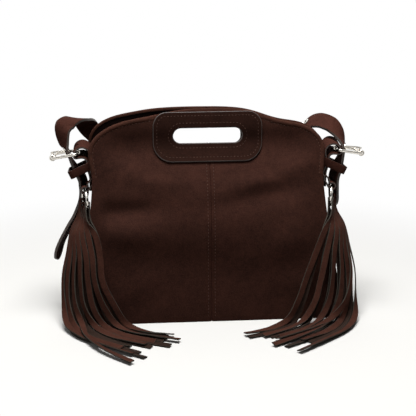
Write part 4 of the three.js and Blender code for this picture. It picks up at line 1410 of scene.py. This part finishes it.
# %% Tassel rings
RING_TURN = math.radians(15)
RING_AXIS = Vector((math.cos(RING_TURN), -math.sin(RING_TURN), 0))
RING_ACROSS = Vector((math.sin(RING_TURN), math.cos(RING_TURN), 0))
RING_CENTRE = Vector((RING_X, -RING_FORWARD, RING_Z))


def tassel_ring(name, side):
    bpy.ops.object.select_all(action="DESELECT")
    bpy.ops.mesh.primitive_torus_add(major_radius=RING_RADIUS, minor_radius=RING_WIRE / 2,
                                     major_segments=48, minor_segments=14)
    ring = bpy.context.object
    ring.name = name
    ring.data.transform(RING_AXIS.to_track_quat("Z", "Y").to_matrix().to_4x4())
    ring.data.transform(Matrix.Translation(RING_CENTRE))
    mirror_left(ring, side)
    ring.data.materials.append(nickel)
    pick(ring)
    bpy.ops.object.shade_smooth()
    return ring


for side_name, side in (("left", -1), ("right", 1)):
    set_piece(tassel_ring(f"nickel_ring_{side_name}", side), f"ring_{side_name}", "nickel",
              f"tassel_ring_{side_name}")

# %% [markdown]
# ## Lace tassels
# Each tassel is seven long laces folded over the ring, so fourteen tails hang from it. They are cut from
# split suede: brown on the face, greyer on the cut edges and the back. The tails fan out between three
# guide lines, reach the floor and trail forward, and each one sways and turns a little by chance.

# %% Guide lines of the fringe
LACES = 7
LACE_WIDTH = 0.0064
LACE_THICKNESS = 0.0013
LACE_SPREAD = 84
FOLD_RADIUS = 0.0024
FOLD_WIDTH = 0.0025
# Stations of a guide, in millimetres: how far past the bag's side, how far in front of the base, and how high
INNER_GUIDES = {
    -1: ((3, -12, 113), (-8, -1.5, 99), (-15.5, 4, 78), (-21, 10, 52), (-37, 16, 26), (-52, 21, 8),
         (-74, 32, 3.6), (-98, 41, 3.6), (-118.8, 46, 3.6)),
    1: ((1.5, -12, 113), (-9.5, -1.5, 99), (-22, 4, 78), (-36, 10, 52), (-50, 16, 26), (-64.5, 21, 8),
        (-83, 32, 3.6), (-102, 41, 3.6), (-119, 46, 3.6)),
}
MIDDLE_GUIDE = (
    (8.9, -27, 113), (9, -13, 99), (3.4, -2, 78), (-0.7, 4, 52), (-9.2, 12, 26), (-24.5, 20, 8),
    (-42.8, 36, 3.6), (-67.8, 54, 3.6), (-96.8, 71, 3.6),
)
OUTER_GUIDE = (
    (14, -39.5, 113), (19, -30, 99), (20.4, -22, 78), (21.8, -16, 52), (16.3, -5, 26), (7.5, 14, 8),
    (-8.8, 41, 3.6), (-36.8, 69, 3.6), (-70.8, 99, 3.6),
)
# How far the tails behind lie from those in front, at each station: out, forward and up
UNDER_LAYER = (
    (-4, -0.6, 0), (-3, -2, 0), (-2.7, -4.2, 0), (-2.4, -4.9, 0), (-1.7, -4.7, 0), (-0.8, -3, -3.2),
    (0, 0, -2.1), (0, 0, -2.1), (0, 0, -2.1),
)
UNDER_TUCK = 0.0025
SHORTEST_TAIL = 0.91
OUTER_CROWDING = 1.3
# Tails that cross over the others: where along its length a tail starts and ends to wander, how far it
# wanders over the fan, and how far it rides over the rest. The keys are the side and the lace.
STRAY_TAILS = {(-1, 4): (0.62, 1.0, 0.42, 0.005), (1, 5): (0.3, 0.8, -0.42, 0.006)}


def guide_point(side, share, index):
    """Station of the fan: share goes from the inner guide (0) over the middle one to the outer (1)."""
    weights = (2 * (share - 0.5) * (share - 1), 4 * share * (1 - share), 2 * share * (share - 0.5))
    point = Vector((0, 0, 0))
    for guide, weight in zip((INNER_GUIDES[side], MIDDLE_GUIDE, OUTER_GUIDE), weights):
        past, forward, up = (value * MM for value in guide[index])
        point += weight * Vector((half_width(up) + past, -BASE_HALF_DEPTH - forward, up))
    return point


def ring_seat(share):
    """Where a lace crosses the ring's wire, with the way inward and the way along the wire."""
    turn = math.radians(mix(-LACE_SPREAD, LACE_SPREAD, share))
    up = Vector((0, 0, 1))
    inward = up * math.cos(turn) - RING_ACROSS * math.sin(turn)
    along = RING_ACROSS * math.cos(turn) + up * math.sin(turn)
    return RING_CENTRE - inward * RING_RADIUS, inward, along


def tail_stops(side, seat_share, share, layer, stray=None):
    """Stops of one tail from the ring to the floor: layer is 1 in front and -1 behind."""
    stops = [ring_seat(seat_share)[0] + RING_AXIS * layer * FOLD_RADIUS]
    for index in range(len(UNDER_LAYER)):
        point = guide_point(side, share, index)
        if stray:
            start, end, wander, ride = stray
            gone = smooth(((index + 1) / len(UNDER_LAYER) - start) / (end - start))
            point = guide_point(side, share + wander * gone, index)
            lifted = ride * 4 * gone * (1 - gone)
            point += Vector((0, -lifted, 0.4 * lifted))
        if layer < 0:
            out, forward, up = (value * MM for value in UNDER_LAYER[index])
            tuck = UNDER_TUCK * share if index == 0 else 0
            point += Vector((out - tuck, tuck - forward, up))
        stops.append(point)
    return stops


# %% Laces
TAIL_STEPS = 44
TAIL_GROWTH = 1.25
TAIL_OPENS = (0.02, 0.2)
TAIL_FREE = (0.2, 0.35)
FLOOR_EASE = 0.03
FOLD_STEPS = 8
LACE_ROUNDING = 0.00025
SWAY = 0.0022
SWAY_RATE = 1.1
SWAY_LAG = 2.4
SWAY_CHANCE = 0.15
TURN = math.radians(24)
LACE_SEED = 11


def tail_stations(side, chance, seat_share, share, layer, length, stray=None):
    """Stations of one tail, with its own sway and turn."""
    nudge = 0.02
    stops = tail_stops(side, seat_share, share, layer, stray)
    lower = tail_stops(side, seat_share - nudge, share - nudge, layer, stray)
    upper = tail_stops(side, seat_share + nudge, share + nudge, layer, stray)
    last = len(stops) - 1
    waves = [(chance.uniform(0.7, 1.9), chance.uniform(0, 2 * math.pi)) for _ in range(3)]
    waves[0] = (SWAY_RATE, SWAY_LAG * share + SWAY_CHANCE * waves[0][1])
    stations = []
    for step in range(TAIL_STEPS):
        t = length * ((step + 1) / TAIL_STEPS) ** TAIL_GROWTH
        point = route_point(stops, t * last)
        across = route_point(upper, t * last) - route_point(lower, t * last)
        across.normalize()
        free = smooth((t - TAIL_FREE[0]) / TAIL_FREE[1])
        sway, push, turn = (math.sin(2 * math.pi * rate * t + phase) for rate, phase in waves)
        along = route_point(stops, min(last, t * last + 0.05)) - route_point(stops, t * last - 0.05)
        across = Matrix.Rotation(TURN * turn * free, 3, along.normalized()) @ across
        point = point + across * SWAY * sway * free
        point.y -= 0.5 * SWAY * (1 + push) * free * smooth(point.z / FLOOR_EASE)
        width = mix(FOLD_WIDTH, LACE_WIDTH, smooth((t - TAIL_OPENS[0]) / (TAIL_OPENS[1] - TAIL_OPENS[0])))
        droop = 0.5 * (abs(across.z) * width + LACE_THICKNESS)
        point.z = max(point.z, droop + GAP)
        stations.append((point, across, width))
    return stations


def fringe_lace(name, chance, index, side):
    share = index / (LACES - 1)
    seat, inward, along = ring_seat(share)
    front_length = mix(SHORTEST_TAIL, 1, 0.5 + 0.5 * math.sin(2.3 * index + side))
    back_length = mix(SHORTEST_TAIL, 1, 0.5 + 0.5 * math.sin(1.7 * index + 2 * side))
    front_fan = 1 - (1 - share) ** OUTER_CROWDING
    back_fan = 1 - (1 - (index + 0.5) / LACES) ** OUTER_CROWDING
    stray = STRAY_TAILS.get((side, index))
    front = tail_stations(side, chance, share, front_fan, 1, front_length, stray)
    back = tail_stations(side, chance, share, back_fan, -1, back_length)
    fold = []
    for step in range(FOLD_STEPS + 1):
        turn = math.pi * step / FOLD_STEPS
        point = seat + FOLD_RADIUS * (RING_AXIS * math.cos(turn) + inward * math.sin(turn))
        fold.append((point, along, FOLD_WIDTH))
    mirror = Vector((side, 1, 1))
    stations = [
        (point * mirror, across * mirror * side, width)
        for point, across, width in front[::-1] + fold + back
    ]
    lace = lay_ribbon(name, stations, columns=3)
    thicken(lace, LACE_THICKNESS, (lace_suede, lace_edge, lace_back), inward=0.0,
            round_edge=LACE_ROUNDING)
    return lace


def fringe(name, side):
    """The seven laces of one tassel, joined to one piece."""
    chance = random.Random(LACE_SEED + side)
    laces = [fringe_lace(f"{name}_{index + 1}", chance, index, side) for index in range(LACES)]
    pick(laces[0])
    for lace in laces:
        lace.select_set(True)
    bpy.ops.object.join()
    laces[0].name = name
    return laces[0]


for side_name, side in (("left", -1), ("right", 1)):
    tassel = fringe(f"fringe_{side_name}", side)
    nodes = [f"fringe_lace_{side_name}_{index + 1}" for index in range(LACES)]
    set_piece(tassel, "bag", "lace_suede", *nodes)

# %% [markdown]
# ## Stitching
# A row of stitches is one small rounded bar, set again and again along a line at an even pitch and half
# sunk in the suede. Rows run beside the centre seam, inside the rim, and on the handle patch.

# %% Helper for stitches
STITCH_PITCH = 0.0037
STITCH_SIZE = (0.0010, 0.00034, 0.00026)


def stitch_row(name, lines):
    """Stitches along lines, each a list of points and the directions out of the surface."""
    bpy.ops.object.select_all(action="DESELECT")
    bpy.ops.mesh.primitive_uv_sphere_add(segments=6, ring_count=4, radius=1)
    bar = bpy.context.object
    bar.data.transform(Matrix.Rotation(math.radians(90), 4, "Y"))
    bar.data.transform(Matrix.Diagonal((*STITCH_SIZE, 1)))
    corners = [vertex.co.copy() for vertex in bar.data.vertices]
    sides = [list(polygon.vertices) for polygon in bar.data.polygons]
    drop(bar)
    points = []
    faces = []
    for line in lines:
        reach = sum((b[0] - a[0]).length for a, b in zip(line, line[1:]))
        count = max(1, round(reach / STITCH_PITCH))
        ends = spaced([point for point, out in line], 4 * count + 1)
        outs = spaced_like(line, ends)
        for index in range(count):
            start, middle, end = ends[4 * index + 1], ends[4 * index + 2], ends[4 * index + 3]
            along = (end - start).normalized()
            out = outs[4 * index + 2]
            across = out.cross(along).normalized()
            turn = Matrix((along, across, along.cross(across))).transposed()
            first = len(points)
            points += [middle + turn @ corner for corner in corners]
            faces += [[first + corner for corner in side] for side in sides]
    mesh = bpy.data.meshes.new(name)
    mesh.from_pydata(points, [], faces)
    row = bpy.data.objects.new(name, mesh)
    bpy.context.collection.objects.link(row)
    mesh.materials.append(thread)
    pick(row)
    bpy.ops.object.shade_smooth()
    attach(row, "bag")
    print(name, "has", len(faces) // len(sides), "stitches")


def spaced_like(line, ends):
    """For each of some points along a line, the direction out of the surface at the nearest sample."""
    outs = []
    index = 0
    for end in ends:
        while index < len(line) - 1 and (line[index + 1][0] - end).length <= (line[index][0] - end).length:
            index += 1
        outs.append(line[index][1])
    return outs


def on_panel(face, flat_line, lift=0.0):
    """Points of a flat line laid on a panel, with the directions out of it."""
    line = []
    for x, z in flat_line:
        out = panel_normal(face, x, z)
        line.append((panel_face(face, x, z) + out * lift, out))
    return line


# %% Rows of stitches
SEAM_ROW = 0.0036
SEAM_FROM = 0.005
SEAM_TO = 0.171
SEAM_STEPS = 120
PATCH_CLEARANCE = 0.001
RIM_INSET = 0.0046
PATCH_INSET = 0.0043
SLOT_OUTSET = 0.0052


def rim_line(face, side):
    """The line inside the rim, from the handle patch round the shoulder to the waist."""
    line = []
    for point, outward in rim_points(face, side):
        inset = point - outward * RIM_INSET
        if abs(inset.x - HANDLE_OFFSET) > PATCH_WIDTH / 2 + PATCH_CLEARANCE:
            line.append((inset.x, inset.y))
    return line


for face_name, face in (("front", -1), ("back", 1)):
    heights = [mix(SEAM_FROM, SEAM_TO, step / SEAM_STEPS) for step in range(SEAM_STEPS + 1)]
    seam = [on_panel(face, [(x, z) for z in heights]) for x in (-SEAM_ROW, SEAM_ROW)]
    stitch_row(f"thread_seam_{face_name}", seam)
    rims = [on_panel(face, rim_line(face, side)) for side in (-1, 1)]
    stitch_row(f"thread_rim_{face_name}", rims)
    loops = [patch_outline(PATCH_INSET), slot_outline(face, SLOT_OUTSET)]
    lift = PATCH_THICKNESS + GAP
    rows = [on_panel(face, [*loop, loop[0]], lift) for loop in loops]
    stitch_row(f"thread_patch_{face_name}", rows)

# %% [markdown]
# ## Close
# The box of the dressed bag is printed.

# %% Sizes
low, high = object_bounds()
print("Dressed from", [round(v, 4) for v in low], "to", [round(v, 4) for v in high])
